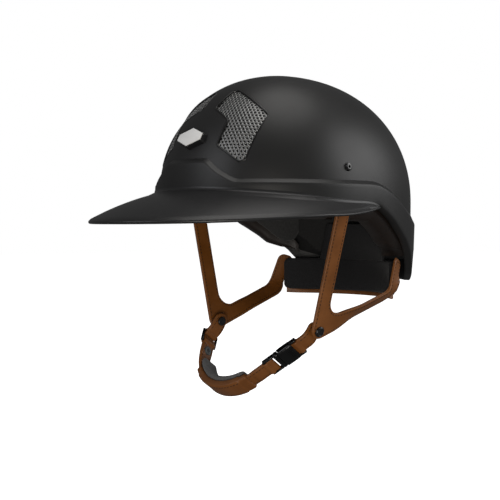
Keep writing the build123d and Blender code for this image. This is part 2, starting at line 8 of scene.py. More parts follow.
import bmesh
import bpy
import numpy as np
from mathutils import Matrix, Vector


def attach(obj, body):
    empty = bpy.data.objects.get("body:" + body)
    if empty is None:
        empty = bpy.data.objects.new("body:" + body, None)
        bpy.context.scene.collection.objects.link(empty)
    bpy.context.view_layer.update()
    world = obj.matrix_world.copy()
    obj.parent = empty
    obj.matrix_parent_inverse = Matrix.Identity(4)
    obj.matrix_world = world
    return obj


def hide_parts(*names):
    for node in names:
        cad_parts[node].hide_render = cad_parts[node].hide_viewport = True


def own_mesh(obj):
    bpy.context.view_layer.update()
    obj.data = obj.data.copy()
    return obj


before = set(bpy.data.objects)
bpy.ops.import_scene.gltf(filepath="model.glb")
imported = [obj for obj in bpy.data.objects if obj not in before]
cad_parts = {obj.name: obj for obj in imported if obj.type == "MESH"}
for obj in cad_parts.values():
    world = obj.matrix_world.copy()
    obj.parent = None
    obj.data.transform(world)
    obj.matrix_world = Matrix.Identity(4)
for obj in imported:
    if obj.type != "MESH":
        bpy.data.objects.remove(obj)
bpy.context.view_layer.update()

# ==== Studio ================================================================================
# The helmet hangs over a plain white floor under large soft lights. The camera stands level with
# the visor's edge, at the front left.
MM = 0.001


def linear(hex_colour):
    """sRGB hex colour as linear RGBA."""
    parts = [int(hex_colour[i:i + 2], 16) / 255 for i in (1, 3, 5)]
    return [c / 12.92 if c < 0.04045 else ((c + 0.055) / 1.055) ** 2.4 for c in parts] + [1.0]


def aim(obj, place, target):
    """Put an object at a place and point its -Z axis at a target, both in metres."""
    obj.location = place
    obj.rotation_euler = (Vector(target) - Vector(place)).to_track_quat("-Z", "Y").to_euler()
    bpy.context.scene.collection.objects.link(obj)
    return obj


camera_data = bpy.data.cameras.new("camera")
camera_data.lens = 83.2
camera_data.sensor_width = 36
camera = aim(bpy.data.objects.new("camera", camera_data), (0.832, -0.749, 0.0), (-0.018, -0.020, -0.027))
bpy.context.scene.camera = camera
bpy.context.scene.view_settings.view_transform = "Standard"

for name, place, size, watts, colour in (
        ("overhead_softbox", (0.25, 0.1, 1.7), 1.5, 12, "#fffdfa"),
        ("rear_softbox", (1.3, 1.5, 0.8), 1.4, 16, "#ffffff"),
        ("front_softbox", (-0.5, -1.9, 0.9), 1.2, 8, "#f9faff"),
        ("harness_light", (1.4, -1.2, -0.45), 0.9, 15, "#fffaf2")):
    lamp = bpy.data.lights.new(name, "AREA")
    lamp.shape = "DISK"
    lamp.size = size
    lamp.energy = watts
    lamp.color = linear(colour)[:3]
    aim(bpy.data.objects.new(name, lamp), place, (0, 0, 0))

world = bpy.data.worlds.new("studio")
bpy.context.scene.world = world
world.use_nodes = True
sky = world.node_tree.nodes["Background"]
sky.inputs["Color"].default_value = linear("#ffffff")
path = world.node_tree.nodes.new("ShaderNodeLightPath")
level = world.node_tree.nodes.new("ShaderNodeMapRange")
level.inputs["To Min"].default_value = 0.12
level.inputs["To Max"].default_value = 1.0
world.node_tree.links.new(path.outputs["Is Camera Ray"], level.inputs["Value"])
world.node_tree.links.new(level.outputs["Result"], sky.inputs["Strength"])


def add_node(tree, kind, links=None, **settings):
    """One shader node with its settings and its links; returns the node."""
    node = tree.nodes.new(kind)
    for key, value in settings.items():
        if hasattr(node, key):
            setattr(node, key, value)
        else:
            node.inputs[key.replace("_", " ")].default_value = value
    for socket, source in (links or {}).items():
        tree.links.new(source, node.inputs[socket])
    return node


def new_material(name, colour, roughness, **shader_settings):
    """Material whose shader starts from a colour and a roughness; returns it, its tree and shader."""
    material = bpy.data.materials.new(name)
    material.use_nodes = True
    material.diffuse_color = linear(colour)
    shader = material.node_tree.nodes["Principled BSDF"]
    shader.inputs["Base Color"].default_value = linear(colour)
    shader.inputs["Roughness"].default_value = roughness
    for key, value in shader_settings.items():
        shader.inputs[key.replace("_", " ")].default_value = value
    return material, material.node_tree, shader


# Plain white floor, clear from below so that the underside of the helmet can be looked at.
FLOOR_Z, FLOOR_REACH = -0.22, 6.0
white_floor, tree, shader = new_material("white_floor", "#ffffff", 0.9, Emission_Strength=1.0)
shader.inputs["Emission Color"].default_value = linear("#ffffff")
tree.links.new(add_node(tree, "ShaderNodeNewGeometry").outputs["Backfacing"], shader.inputs["Alpha"])
floor_mesh = bpy.data.meshes.new("floor")
floor_mesh.from_pydata([(x * FLOOR_REACH, y * FLOOR_REACH, FLOOR_Z)
                        for x, y in ((-1, -1), (-1, 1), (1, 1), (1, -1))], [], [(0, 1, 2, 3)])
floor_mesh.materials.append(white_floor)
floor = bpy.data.objects.new("floor", floor_mesh)
bpy.context.scene.collection.objects.link(floor)
floor.visible_diffuse = floor.visible_glossy = floor.visible_shadow = False

# ==== Outer shell ===========================================================================
# A 3 mm shell moulded in ABS and finished in soft-touch matt black lacquer. Its plan is a
# squared ellipse, longer behind than in front, and two chevron windows are cut in the brow.
CROWN_SIDE, CROWN_FRONT, CROWN_REAR = 105.8, 114.8, 143.8
CROWN_RISE, CROWN_DROP, WIDEST_Z = 121.5, 290.0, 18.6
PLAN_POWER, SIDE_POWER = 2.18, 2.14
SHELL_T = 3.0
RIM_Y = [-130, 0, 27, 40, 52, 64, 76, 91, 100, 110, 120, 160]
RIM_Z = [6, 12, 15, 8, 1, -8, -16, -28, -39, -50, -57, -57]


def rim_height(y):
    """Height of the shell's lower edge at a y."""
    return np.interp(y, RIM_Y, RIM_Z)


def plan_point(turn, out=0.0, shrink=1.0):
    """Plan (x, y) of the crown at angles from straight ahead."""
    turn = np.asarray(turn, float)
    power = 2 / PLAN_POWER
    s, c = np.sin(turn), np.cos(turn)
    half = np.where(c > 0, CROWN_FRONT, CROWN_REAR) + out
    x = np.sign(s) * np.abs(s) ** power * (CROWN_SIDE + out)
    y = -np.sign(c) * np.abs(c) ** power * half
    return x * shrink, y * shrink


def crown_at(turn, z, out=0.0):
    """Points of the crown's outer face, moved outwards, at plan angles and heights."""
    turn, z, out = np.broadcast_arrays(np.asarray(turn, float), np.asarray(z, float),
                                       np.asarray(out, float))
    high = np.where(z > WIDEST_Z, CROWN_RISE + out, CROWN_DROP)
    share = np.clip(np.abs(z - WIDEST_Z) / high, 0, 1)
    shrink = (1 - share ** SIDE_POWER) ** (1 / SIDE_POWER)
    x, y = plan_point(turn, out, shrink)
    return np.stack([x, y, z], -1)


def crown_level(points, out=0.0):
    """Below 0 inside the crown's face moved outwards by out, above 0 outside it."""
    x, y, z = np.moveaxis(np.asarray(points, float), -1, 0)
    half = np.where(y < 0, CROWN_FRONT, CROWN_REAR) + out
    high = np.where(z > WIDEST_Z, CROWN_RISE + out, CROWN_DROP)
    plan = np.abs(x / (CROWN_SIDE + out)) ** PLAN_POWER + np.abs(y / half) ** PLAN_POWER
    return plan ** (SIDE_POWER / PLAN_POWER) + np.abs((z - WIDEST_Z) / high) ** SIDE_POWER - 1


def crown_normal(points, out=0.0):
    """Outward normals of the crown's face."""
    step = 0.01
    slope = [crown_level(points + step * axis, out) - crown_level(points - step * axis, out)
             for axis in np.eye(3)]
    normal = np.stack(slope, -1)
    return normal / np.linalg.norm(normal, axis=-1, keepdims=True)


def new_piece(name, points, faces, material, smooth=40):
    """Mesh object from points in millimetres, smooth except across edges sharper than an angle."""
    mesh = bpy.data.meshes.new(name)
    mesh.from_pydata([tuple(p) for p in np.asarray(points, float) * MM], [], [tuple(f) for f in faces])
    bm = bmesh.new()
    bm.from_mesh(mesh)
    bmesh.ops.remove_doubles(bm, verts=bm.verts, dist=1e-6)
    bmesh.ops.recalc_face_normals(bm, faces=bm.faces)
    bm.to_mesh(mesh)
    bm.free()
    mesh.polygons.foreach_set("use_smooth", [True] * len(mesh.polygons))
    mesh.set_sharp_from_angle(angle=math.radians(smooth))
    mesh.materials.append(material)
    obj = bpy.data.objects.new(name, mesh)
    bpy.context.scene.collection.objects.link(obj)
    return obj


def grid_faces(rows, columns, closed_rows=False, closed_columns=True, start=0):
    """Quads of a grid of points stored row after row."""
    faces = []
    for i in range(rows if closed_rows else rows - 1):
        for j in range(columns if closed_columns else columns - 1):
            k, m = (i + 1) % rows, (j + 1) % columns
            faces.append([start + i * columns + j, start + i * columns + m,
                          start + k * columns + m, start + k * columns + j])
    return faces


def place(obj, body, slot, *nodes):
    """The closing calls that most pieces share: what it rides on and the CAD nodes it hides; the slot is not
    used.
    """
    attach(obj, body)
    if nodes:
        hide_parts(*nodes)
    return obj


def fine_grain(tree, shader, scale, detail, strength, distance=0.0001):
    """Fine relief over a moulded or sprayed surface, about one over scale metres across."""
    coords = add_node(tree, "ShaderNodeTexCoord")
    grain = add_node(tree, "ShaderNodeTexNoise", {"Vector": coords.outputs["Object"]},
                     Scale=scale, Detail=detail)
    bump = add_node(tree, "ShaderNodeBump", {"Height": grain.outputs["Fac"]},
                    Strength=strength, Distance=distance)
    tree.links.new(bump.outputs["Normal"], shader.inputs["Normal"])


def uneven_gloss(tree, shader, scale, smoothest, roughest):
    """Roughness that drifts in soft clouds, about one over scale metres across."""
    coords = add_node(tree, "ShaderNodeTexCoord")
    cloud = add_node(tree, "ShaderNodeTexNoise", {"Vector": coords.outputs["Object"]}, Scale=scale, Detail=3)
    rough = add_node(tree, "ShaderNodeMapRange", {"Value": cloud.outputs["Fac"]},
                     To_Min=smoothest, To_Max=roughest)
    tree.links.new(rough.outputs["Result"], shader.inputs["Roughness"])


soft_touch, tree, shader = new_material("soft_touch_lacquer", "#151515", 0.52, IOR=1.5)
# spray lacquer over moulded ABS: a fine even tooth of about 0.4 mm, drawn coarser than the real
# 0.1 mm so that it shows, which breaks the highlight without a pattern
fine_grain(tree, shader, 2400, 2, 0.10)
uneven_gloss(tree, shader, 28, 0.42, 0.50)

AROUND = 240
turns = np.linspace(-math.pi, math.pi, AROUND, endpoint=False)
rim_z = rim_height(crown_at(turns, 0.0)[:, 1])


def shell_rows(out):
    """Rings of the crown's face from the rim to just below the top."""
    rows = [crown_at(turns, rim_z + (WIDEST_Z - rim_z) * t, out) for t in np.linspace(0, 1, 7)]
    for lift in np.linspace(0, 1, 52)[1:-1]:
        z = WIDEST_Z + (CROWN_RISE + out) * math.sin(lift * math.pi / 2) ** (2 / SIDE_POWER)
        rows.append(crown_at(turns, z, out))
    return rows


outer, inner = shell_rows(0.0), shell_rows(-SHELL_T)
rings = inner[::-1] + outer
points = np.concatenate(rings)
faces = grid_faces(len(rings), AROUND)
tops = [[0, 0, WIDEST_Z + CROWN_RISE - SHELL_T], [0, 0, WIDEST_Z + CROWN_RISE]]
first, last = len(points), len(points) + 1
end = (len(rings) - 1) * AROUND
for j in range(AROUND):
    faces.append([first, (j + 1) % AROUND, j])
    faces.append([last, end + j, end + (j + 1) % AROUND])
shell = new_piece("outer_shell_skin", np.concatenate([points, tops]), faces, soft_touch)

# the vent windows: one outline on a plane that leans with the brow
VENT_ORIGIN = np.array([40.0, -85.0, 88.0])
VENT_NORMAL = np.array([0.39, -0.76, 0.52])
VENT_NORMAL /= np.linalg.norm(VENT_NORMAL)
VENT_ACROSS = np.array([0.9, 0.46, 0.0])
VENT_ACROSS -= VENT_NORMAL * (VENT_ACROSS @ VENT_NORMAL)
VENT_ACROSS /= np.linalg.norm(VENT_ACROSS)
VENT_UP = np.cross(VENT_NORMAL, VENT_ACROSS)
VENT_CORNERS = [(13, -63, 122), (61.5, -67, 96), (60, -93, 55.5), (56, -96, 53.5),
                (33, -102, 69), (33.6, -89, 91.5), (9.3, -85, 104)]
VENT_EDGE = 1.6


def rounded_outline(corners, radii, step=0.6):
    """Closed outline through corners (x, y), each turned into an arc of its own radius."""
    outline = []
    count = len(corners)
    for i, (corner, radius) in enumerate(zip(corners, radii)):
        here = np.array(corner, float)
        back = np.array(corners[i - 1], float) - here
        ahead = np.array(corners[(i + 1) % count], float) - here
        reach_back, reach_ahead = np.linalg.norm(back), np.linalg.norm(ahead)
        back, ahead = back / reach_back, ahead / reach_ahead
        half = math.acos(np.clip(back @ ahead, -1, 1)) / 2
        cut = min(radius / math.tan(half), 0.48 * reach_back, 0.48 * reach_ahead)
        radius = cut * math.tan(half)
        middle = here + (back + ahead) / np.linalg.norm(back + ahead) * (radius / math.sin(half))
        start, stop = here + back * cut - middle, here + ahead * cut - middle
        sweep = math.atan2(start[0] * stop[1] - start[1] * stop[0], start @ stop)
        steps = max(2, int(abs(sweep) * radius / step) + 1)
        base = math.atan2(start[1], start[0])
        for k in range(steps + 1):
            a = base + sweep * k / steps
            outline.append(middle + radius * np.array([math.cos(a), math.sin(a)]))
    return np.array(outline)


def grown(outline, amount):
    """Outline moved outwards by an amount (inwards if negative), by its corner normals."""
    before, after = np.roll(outline, 1, 0), np.roll(outline, -1, 0)
    back, ahead = outline - before, after - outline
    back /= np.linalg.norm(back, axis=1, keepdims=True) + 1e-12
    ahead /= np.linalg.norm(ahead, axis=1, keepdims=True) + 1e-12
    n1 = np.stack([back[:, 1], -back[:, 0]], 1)
    n2 = np.stack([ahead[:, 1], -ahead[:, 0]], 1)
    area = np.sum(before[:, 0] * outline[:, 1] - before[:, 1] * outline[:, 0])
    normal = (n1 + n2) / np.maximum(1 + np.sum(n1 * n2, 1, keepdims=True), 0.3)
    return outline + normal * amount * (1 if area > 0 else -1)


def resampled(outline, step):
    """Closed outline with points at an even spacing."""
    ring = np.vstack([outline, outline[:1]])
    run = np.concatenate([[0], np.cumsum(np.linalg.norm(np.diff(ring, axis=0), axis=1))])
    marks = np.linspace(0, run[-1], max(8, int(run[-1] / step)), endpoint=False)
    return np.stack([np.interp(marks, run, ring[:, i]) for i in (0, 1)], 1)


def vent_place(flat, out, side=1):
    """Points on the crown's face moved outwards, from plane coordinates of the vent."""
    base = VENT_ORIGIN + flat[:, :1] * VENT_ACROSS + flat[:, 1:2] * VENT_UP
    low, high = np.full(len(flat), -60.0), np.full(len(flat), 60.0)
    for _ in range(40):
        mid = (low + high) / 2
        inside = crown_level(base + mid[:, None] * VENT_NORMAL) < 0
        low, high = np.where(inside, mid, low), np.where(inside, high, mid)
    face = base + low[:, None] * VENT_NORMAL
    moved = face + crown_normal(face) * np.asarray(out, float).reshape(-1, 1)
    return moved * np.array([side, 1, 1])


vent_corners = [((np.array(c) - VENT_ORIGIN) @ VENT_ACROSS, (np.array(c) - VENT_ORIGIN) @ VENT_UP)
                for c in VENT_CORNERS]
vent_outline = resampled(rounded_outline(vent_corners, [4, 4, 2, 3, 3, 5, 4]), 1.2)


def cut_out(obj, cutters):
    """Take each cutter's volume out of a piece."""
    for cutter in cutters:
        modifier = obj.modifiers.new("cut", "BOOLEAN")
        modifier.object = cutter
        modifier.solver = "EXACT"
        bpy.context.view_layer.objects.active = obj
        bpy.ops.object.modifier_apply(modifier=modifier.name)
        bpy.data.objects.remove(cutter)


def stacked(name, rings, material, smooth=35):
    """Solid through rings of equal length, both ends closed."""
    count = len(rings[0])
    faces = grid_faces(len(rings), count)
    faces += [list(range(count))[::-1], list(range((len(rings) - 1) * count, len(rings) * count))]
    return new_piece(name, np.concatenate(rings), faces, material, smooth)


window = grown(vent_outline, VENT_EDGE)
cut_out(shell, [stacked("cutter", [vent_place(window, -9, side), vent_place(window, 7, side)], soft_touch, 40)
                for side in (1, -1)])
mesh = shell.data
place_of = np.array([v.co for v in mesh.vertices]) / MM
on_face = np.abs(crown_level(place_of)) < 2e-4
true_normal = crown_normal(place_of)
loop_normals = []
for face in mesh.polygons:
    outside = all(on_face[i] for i in face.vertices)
    loop_normals += [true_normal[i] if outside else face.normal for i in face.vertices]
mesh.normals_split_custom_set([tuple(n) for n in loop_normals])
place(shell, "helmet", "shell", "outer_shell")

# ==== Lower band ============================================================================
# A second moulding bonded round the shell's edge, 4 mm proud. It steps up under the badge, runs
# level along the temples and drops to cover the nape; its upper edge is a lit chamfer.
BAND_PROUD = 4.0
BAND_SIDE = [(-92, 38.0), (23, 37.5), (37, 34.5), (50, 29.7), (65, 22.5), (77, 16), (89, 10.5),
             (110, 5.5), (150, 3.0)]
BAND_STEP = [(0, 57), (27.6, 57), (40, 47), (56, 38.1), (130, 38.0)]


def band_top(turn):
    """Height of the band's upper edge at plan angles, with its corners eased."""
    spread = np.radians(np.linspace(-2.2, 2.2, 9))
    total = 0
    for shift in spread:
        x, y = plan_point(turn + shift)
        low = np.interp(y, *zip(*BAND_SIDE))
        step = np.interp(np.abs(x), *zip(*BAND_STEP))
        total = total + np.where(y < -60, step, low)
    return total / len(spread)


def crown_profile(turn, pairs):
    """Points at one plan angle from (out, z) pairs."""
    return np.array([crown_at(turn, z, out) for out, z in pairs])


band_turns = np.linspace(-math.pi, math.pi, 360, endpoint=False)
profiles = []
for turn, top in zip(band_turns, band_top(band_turns)):
    y = plan_point(turn)[1]
    rim = float(rim_height(y))
    wide = np.interp(y, [30, 110], [3.6, 8.0])
    profiles.append(crown_profile(turn, [
        (-SHELL_T - 0.1, rim + 1.2), (-SHELL_T + 0.9, rim - 0.6), (2.6, rim - 0.8), (3.6, rim),
        (BAND_PROUD, rim + 1.5), (BAND_PROUD, rim + 5), (BAND_PROUD + 0.2, (rim + top - wide) / 2),
        (BAND_PROUD, top - wide - 3), (BAND_PROUD, top - wide - 0.7), (BAND_PROUD - 0.15, top - wide),
        (BAND_PROUD - 0.6, top - wide + 0.6), (0.75, top - 0.8), (0.35, top - 0.2), (0.02, top),
        (-0.1, top - 1.5), (-0.1, rim + 1.6)]))
band = new_piece("lower_band_moulding", np.concatenate(profiles),
                 grid_faces(len(profiles), len(profiles[0]), closed_rows=True), soft_touch)
place(band, "helmet", "band", "lower_band")

# ==== Visor =================================================================================
# One moulding in the same lacquer, a broad brim that droops about 18 degrees and dies into the
# band at each temple. A narrow shadow gap and a cove run along its root.
VISOR_SIDE, VISOR_MID_Y, VISOR_REACH, VISOR_TAIL = 121.0, -48.0, 149.0, 180.0
VISOR_END = 114.6
VISOR_T = 3.4
TURN_UP = 0.785                    # share of the way to the temple where the edge starts to rise faster

visor_lacquer, tree, shader = new_material("satin_visor_lacquer", "#19191a", 0.40, IOR=1.5)
fine_grain(tree, shader, 2400, 2, 0.08)
uneven_gloss(tree, shader, 22, 0.36, 0.44)


def visor_profile(angle):
    """Ring of points round the visor's section at a plan angle in degrees."""
    turn, share = math.radians(angle), abs(angle) / VISOR_END
    root_turn = math.radians(math.copysign(0.8 * abs(angle) + 7.3 * share ** 6, angle))
    root = np.array(plan_point(root_turn, BAND_PROUD - 0.6))
    reach = VISOR_REACH if math.cos(turn) > 0 else VISOR_TAIL
    edge = np.array([VISOR_SIDE * math.sin(turn), VISOR_MID_Y - reach * math.cos(turn)])
    low = -1.9 + 6.6 * min(1, share / TURN_UP) ** 2.5
    low += 7.5 * max(0, (share - TURN_UP) / (1 - TURN_UP)) ** 2
    y = root[1]
    top = 18.9 + 9.4 * ((7 - y) / 126) ** 1.6 if y < 7 else 18.9 - 3.9 * ((y - 7) / 20) ** 2
    span = max(np.linalg.norm(edge - root), 1.2)
    fade = min(1, span / 30)
    bulge, cove = 2.5 * min(1, span / 60), 3.6 * fade
    thick = VISOR_T * (0.55 + 0.45 * fade)
    tip = low + thick
    pairs = []
    for k in range(6):                          # the cove against the band
        a = math.pi / 2 * k / 5
        pairs.append((0.6 + cove * (1 - math.cos(a)), top + cove * (1 - math.sin(a))))

    def slope(u):
        return top + (tip - top) * u + 4 * bulge * u * (1 - u)

    edge_share = 1 - 2.2 / span if span > 6 else 0.8
    for u in np.linspace(pairs[-1][0] / span, edge_share, 15)[1:]:
        pairs.append((u * span, slope(u)))
    for k in range(1, 9):                       # the rounded edge
        a = math.pi / 2 - math.pi * k / 8
        pairs.append((span - thick / 2 + thick / 2 * math.cos(a), low + thick / 2 + thick / 2 * math.sin(a)))
    for u in np.linspace(edge_share, 0, 12)[1:]:
        pairs.append((u * span, slope(u) - thick))
    along = (edge - root) / max(np.linalg.norm(edge - root), 1e-6)
    return np.array([[*(root + along * d), z] for d, z in pairs])


angles = np.concatenate([np.linspace(-VISOR_END, -108, 14)[:-1], np.linspace(-108, 108, 181),
                         np.linspace(108, VISOR_END, 14)[1:]])
visor = stacked("visor_moulding", [visor_profile(a) for a in angles], visor_lacquer, 50)
place(visor, "helmet", "visor", "visor")

# ==== Vent grilles ==========================================================================
# Perforated stainless sheet, 0.8 mm, with round 2 mm holes staggered at 3.6 mm, pressed to the
# shell's curve and held behind a thin black edge moulded round each window.
HOLE_R, PITCH, SHEET_T, SHEET_IN = 1.02, 3.6, 0.8, -1.5

satin_steel, tree, shader = new_material("satin_stainless_sheet", "#8c8c8b", 0.40, Metallic=1.0)
# a rolled sheet has faint lines about 0.3 mm apart along the roll
coords = add_node(tree, "ShaderNodeTexCoord")
stretch = add_node(tree, "ShaderNodeMapping", {"Vector": coords.outputs["Object"]}, Scale=(400, 3300, 400))
lines = add_node(tree, "ShaderNodeTexNoise", {"Vector": stretch.outputs["Vector"]}, Scale=1.0, Detail=2)
rough = add_node(tree, "ShaderNodeMapRange", {"Value": lines.outputs["Fac"]}, To_Min=0.26, To_Max=0.42)
tree.links.new(rough.outputs["Result"], shader.inputs["Roughness"])
bump = add_node(tree, "ShaderNodeBump", {"Height": lines.outputs["Fac"]}, Strength=0.05, Distance=0.0001)
tree.links.new(bump.outputs["Normal"], shader.inputs["Normal"])

black_abs, tree, shader = new_material("moulded_black_abs", "#0b0b0b", 0.32, IOR=1.53)
fine_grain(tree, shader, 1600, 2, 0.12)


def perforated_sheet(outline):
    """Flat sheet of hexagonal cells, each with a round hole, cut to an outline."""
    low, high = outline.min(0) - PITCH, outline.max(0) + PITCH
    sides = 12
    flat, faces = [], []
    row = 0
    y = low[1]
    while y < high[1]:
        x = low[0] + (PITCH / 2 if row % 2 else 0)
        while x < high[0]:
            base = len(flat)
            for k in range(sides):
                a = math.radians(30 * k)
                reach = PITCH / 2 / math.cos((a + math.pi / 6) % (math.pi / 3) - math.pi / 6)
                flat.append((x + reach * math.cos(a), y + reach * math.sin(a)))
                flat.append((x + HOLE_R * math.cos(a), y + HOLE_R * math.sin(a)))
            for k in range(sides):
                m = (k + 1) % sides
                faces.append((base + 2 * k, base + 2 * m, base + 2 * m + 1, base + 2 * k + 1))
            x += PITCH
        y += PITCH * math.sin(math.radians(60))
        row += 1
    return np.array(flat), faces


def inside_outline(flat, outline):
    """True for each point inside a closed outline."""
    x, y = flat[:, 0], flat[:, 1]
    inside = np.zeros(len(flat), bool)
    for (x1, y1), (x2, y2) in zip(outline, np.roll(outline, -1, 0)):
        crosses = (y1 > y) != (y2 > y)
        with np.errstate(divide="ignore", invalid="ignore"):
            inside ^= crosses & (x < (x2 - x1) * (y - y1) / (y2 - y1) + x1)
    return inside


for side, word in ((1, "left"), (-1, "right")):
    flat, faces = perforated_sheet(vent_outline)
    reach = grown(vent_outline, 0.9)
    inside = inside_outline(flat, reach)
    faces = [f for f in faces if all(inside[i] for i in f)]
    used = sorted({i for f in faces for i in f})
    number = {old: new for new, old in enumerate(used)}
    faces = [[number[i] for i in f] for f in faces]
    sheet = new_piece(word + "_vent_sheet", vent_place(flat[used], SHEET_IN, side), faces, satin_steel)
    thicken = sheet.modifiers.new("thickness", "SOLIDIFY")
    thicken.thickness = SHEET_T * MM
    thicken.offset = 0
    bpy.context.view_layer.objects.active = sheet
    bpy.ops.object.modifier_apply(modifier="thickness")
    place(sheet, "helmet", "grille", word + "_vent_grille")
    rings = [vent_place(grown(vent_outline, d), h, side)
             for d, h in ((-0.1, -2.8), (-0.1, 0.0), (0.15, 0.3), (0.6, 0.42), (1.1, 0.3),
                          (1.5, 0.0), (1.55, -2.8))]
    count = len(vent_outline)
    edge = new_piece(word + "_vent_edge", np.concatenate(rings),
                     grid_faces(len(rings), count, closed_rows=True), black_abs, smooth=60)
    place(edge, "helmet", "vent_edge", word + "_vent_frame")

# ==== Badge =================================================================================
# A hexagonal boss with a plain gloss white plate let into it, clipped to the brow. Nothing is
# printed on the plate.
BADGE_AT = np.array([0.0, -107.0, 77.0])
BADGE_UP = np.array([0.0, 0.5, 0.866])
BADGE_OUT = np.array([0.0, -0.866, 0.5])
BADGE_CORNERS = [(17.5, 3.9), (0, 10.5), (-17.5, 3.9), (-17.5, -3.9), (0, -10.5), (17.5, -3.9)]

white_gloss, tree, shader = new_material("white_gloss_abs", "#fbfbfa", 0.16, IOR=1.53)
fine_grain(tree, shader, 300, 1, 0.03, 0.0002)
boss_black, tree, shader = new_material("gloss_black_abs", "#1c1c1d", 0.28, IOR=1.53)
fine_grain(tree, shader, 700, 2, 0.06, 0.0002)


badge_outline = rounded_outline(BADGE_CORNERS, [1.8] * 6, step=0.15)


def badge_ring(grow, height):
    """Hexagon ring of the badge, grown or shrunk, at a height above its plane."""
    return np.array([BADGE_AT + p[0] * np.array([1, 0, 0]) + p[1] * BADGE_UP + height * BADGE_OUT
                     for p in grown(badge_outline, grow)])


boss = stacked("badge_boss", [badge_ring(0.5, -9), badge_ring(0, -0.7), badge_ring(-0.2, -0.2),
                              badge_ring(-0.5, 0.0), badge_ring(-0.8, -0.1)], boss_black)
place(boss, "helmet", "badge_dark", "badge_base")
plate = stacked("badge_face_plate", [badge_ring(-1.0, -0.3), badge_ring(-1.0, 0.55),
                                     badge_ring(-1.15, 0.8), badge_ring(-1.5, 0.92)], white_gloss)
place(plate, "helmet", "badge_light", "badge_plate")

# ==== Side anchor screws ====================================================================
# Low button-head screws through the shell at each temple, black lacquered steel, with a hexagon
# socket; each holds the webbing tab that the front of a cheek strap hangs from.
lacquered_steel, tree, shader = new_material("black_lacquered_steel", "#0d0d0e", 0.30, IOR=1.5,
                                             Coat_Weight=0.3)
fine_grain(tree, shader, 900, 1, 0.08)


def turned(centre, axis, pairs, count=48):
    """Rings of a turned part from (height, radius) pairs; below 0 a hexagon of that half width."""
    axis = np.array(axis, float) / np.linalg.norm(axis)
    side = np.cross(axis, [0, 0, 1.0] if abs(axis[2]) < 0.9 else [0, 1.0, 0])
    side /= np.linalg.norm(side)
    other = np.cross(axis, side)
    rings = []
    for height, radius in pairs:
        ring = []
        for k in range(count):
            a = 2 * math.pi * k / count
            reach = radius
            if radius < 0:                      # a hexagon of that size across its flats
                reach = -radius / math.cos((a + math.pi / 6) % (math.pi / 3) - math.pi / 6)
            ring.append(np.array(centre) + axis * height + (side * math.cos(a) + other * math.sin(a)) * reach)
        rings.append(np.array(ring))
    return rings


for side, word in ((1, "left"), (-1, "right")):
    face = np.array([side * crown_at(math.acos(8 / 114.0), 49.5)[0], -8.0, 49.5])
    rings = turned(face, [side, 0, 0.12], [(-9, 2.0), (-0.6, 2.0), (-0.6, 3.8), (0.9, 3.8), (1.5, 3.5),
                                           (1.85, 2.6), (1.9, 1.9), (1.85, -1.35), (0.6, -1.3)])
    screw = stacked(word + "_anchor_screw_head", rings, lacquered_steel)
    place(screw, "helmet", "black_metal", word + "_anchor_screw")

# ==== Linings ===============================================================================
# A padded rim bound in dark leather, a brushed grey comfort liner inside it and a pad in the
# crown, all over black expanded polystyrene.


def weave_bump(material_tree, shader, scale, strength, distance=0.0002):
    """Fine cloth or grain relief; the pattern is about one over scale metres across."""
    coords = add_node(material_tree, "ShaderNodeTexCoord")
    grain = add_node(material_tree, "ShaderNodeTexVoronoi", {"Vector": coords.outputs["Object"]}, Scale=scale)
    soft = add_node(material_tree, "ShaderNodeTexNoise", {"Vector": coords.outputs["Object"]},
                    Scale=scale / 3, Detail=4)
    both = add_node(material_tree, "ShaderNodeMath", {0: grain.outputs["Distance"], 1: soft.outputs["Fac"]})
    bump = add_node(material_tree, "ShaderNodeBump", {"Height": both.outputs["Value"]},
                    Strength=strength, Distance=distance)
    material_tree.links.new(bump.outputs["Normal"], shader.inputs["Normal"])
    return soft


def tinted(material_tree, shader, source, dark, light):
    """Base colour that drifts between two tones with a noise."""
    ramp = add_node(material_tree, "ShaderNodeValToRGB", {"Fac": source.outputs["Fac"]})
    ramp.color_ramp.elements[0].position, ramp.color_ramp.elements[1].position = 0.3, 0.7
    ramp.color_ramp.elements[0].color, ramp.color_ramp.elements[1].color = linear(dark), linear(light)
    material_tree.links.new(ramp.outputs["Color"], shader.inputs["Base Color"])


# grained leather over foam, grain about 1 mm
rim_leather, tree, shader = new_material("dark_brown_leather", "#150c07", 0.5)
tinted(tree, shader, weave_bump(tree, shader, 900, 0.25), "#120a05", "#1a0f08")
# brushed tricot, nap about 0.5 mm
grey_tricot, tree, shader = new_material("brushed_grey_tricot", "#2c2c2c", 0.95, Sheen_Weight=0.15)
tinted(tree, shader, weave_bump(tree, shader, 1600, 0.4), "#262626", "#323232")
# the same cloth in a lighter grey at the chin
chin_tricot, tree, shader = new_material("light_grey_tricot", "#5c5c5c", 0.95, Sheen_Weight=0.15)
tinted(tree, shader, weave_bump(tree, shader, 1600, 0.4), "#545454", "#646464")
# moulded bead foam, beads about 3 mm
bead_foam, tree, shader = new_material("expanded_polystyrene", "#161616", 0.85)
weave_bump(tree, shader, 330, 0.5, 0.0004)
# woven polyester webbing, ribs about 0.8 mm
webbing, tree, shader = new_material("polyester_webbing", "#121212", 0.8)
weave_bump(tree, shader, 1200, 0.6)
thread, tree, shader = new_material("waxed_thread", "#20150d", 0.7)
weave_bump(tree, shader, 3000, 0.3, 0.0001)


def dressed(node, material):
    """Give a CAD node that stays in view its own material."""
    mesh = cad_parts[node].data
    mesh.materials.clear()
    mesh.materials.append(material)


dressed("impact_liner", bead_foam)
for side in ("left_", "right_"):
    dressed(side + "anchor_tab", webbing)
    dressed(side + "anchor_nut", lacquered_steel)
    dressed(side + "snap_stud", lacquered_steel)


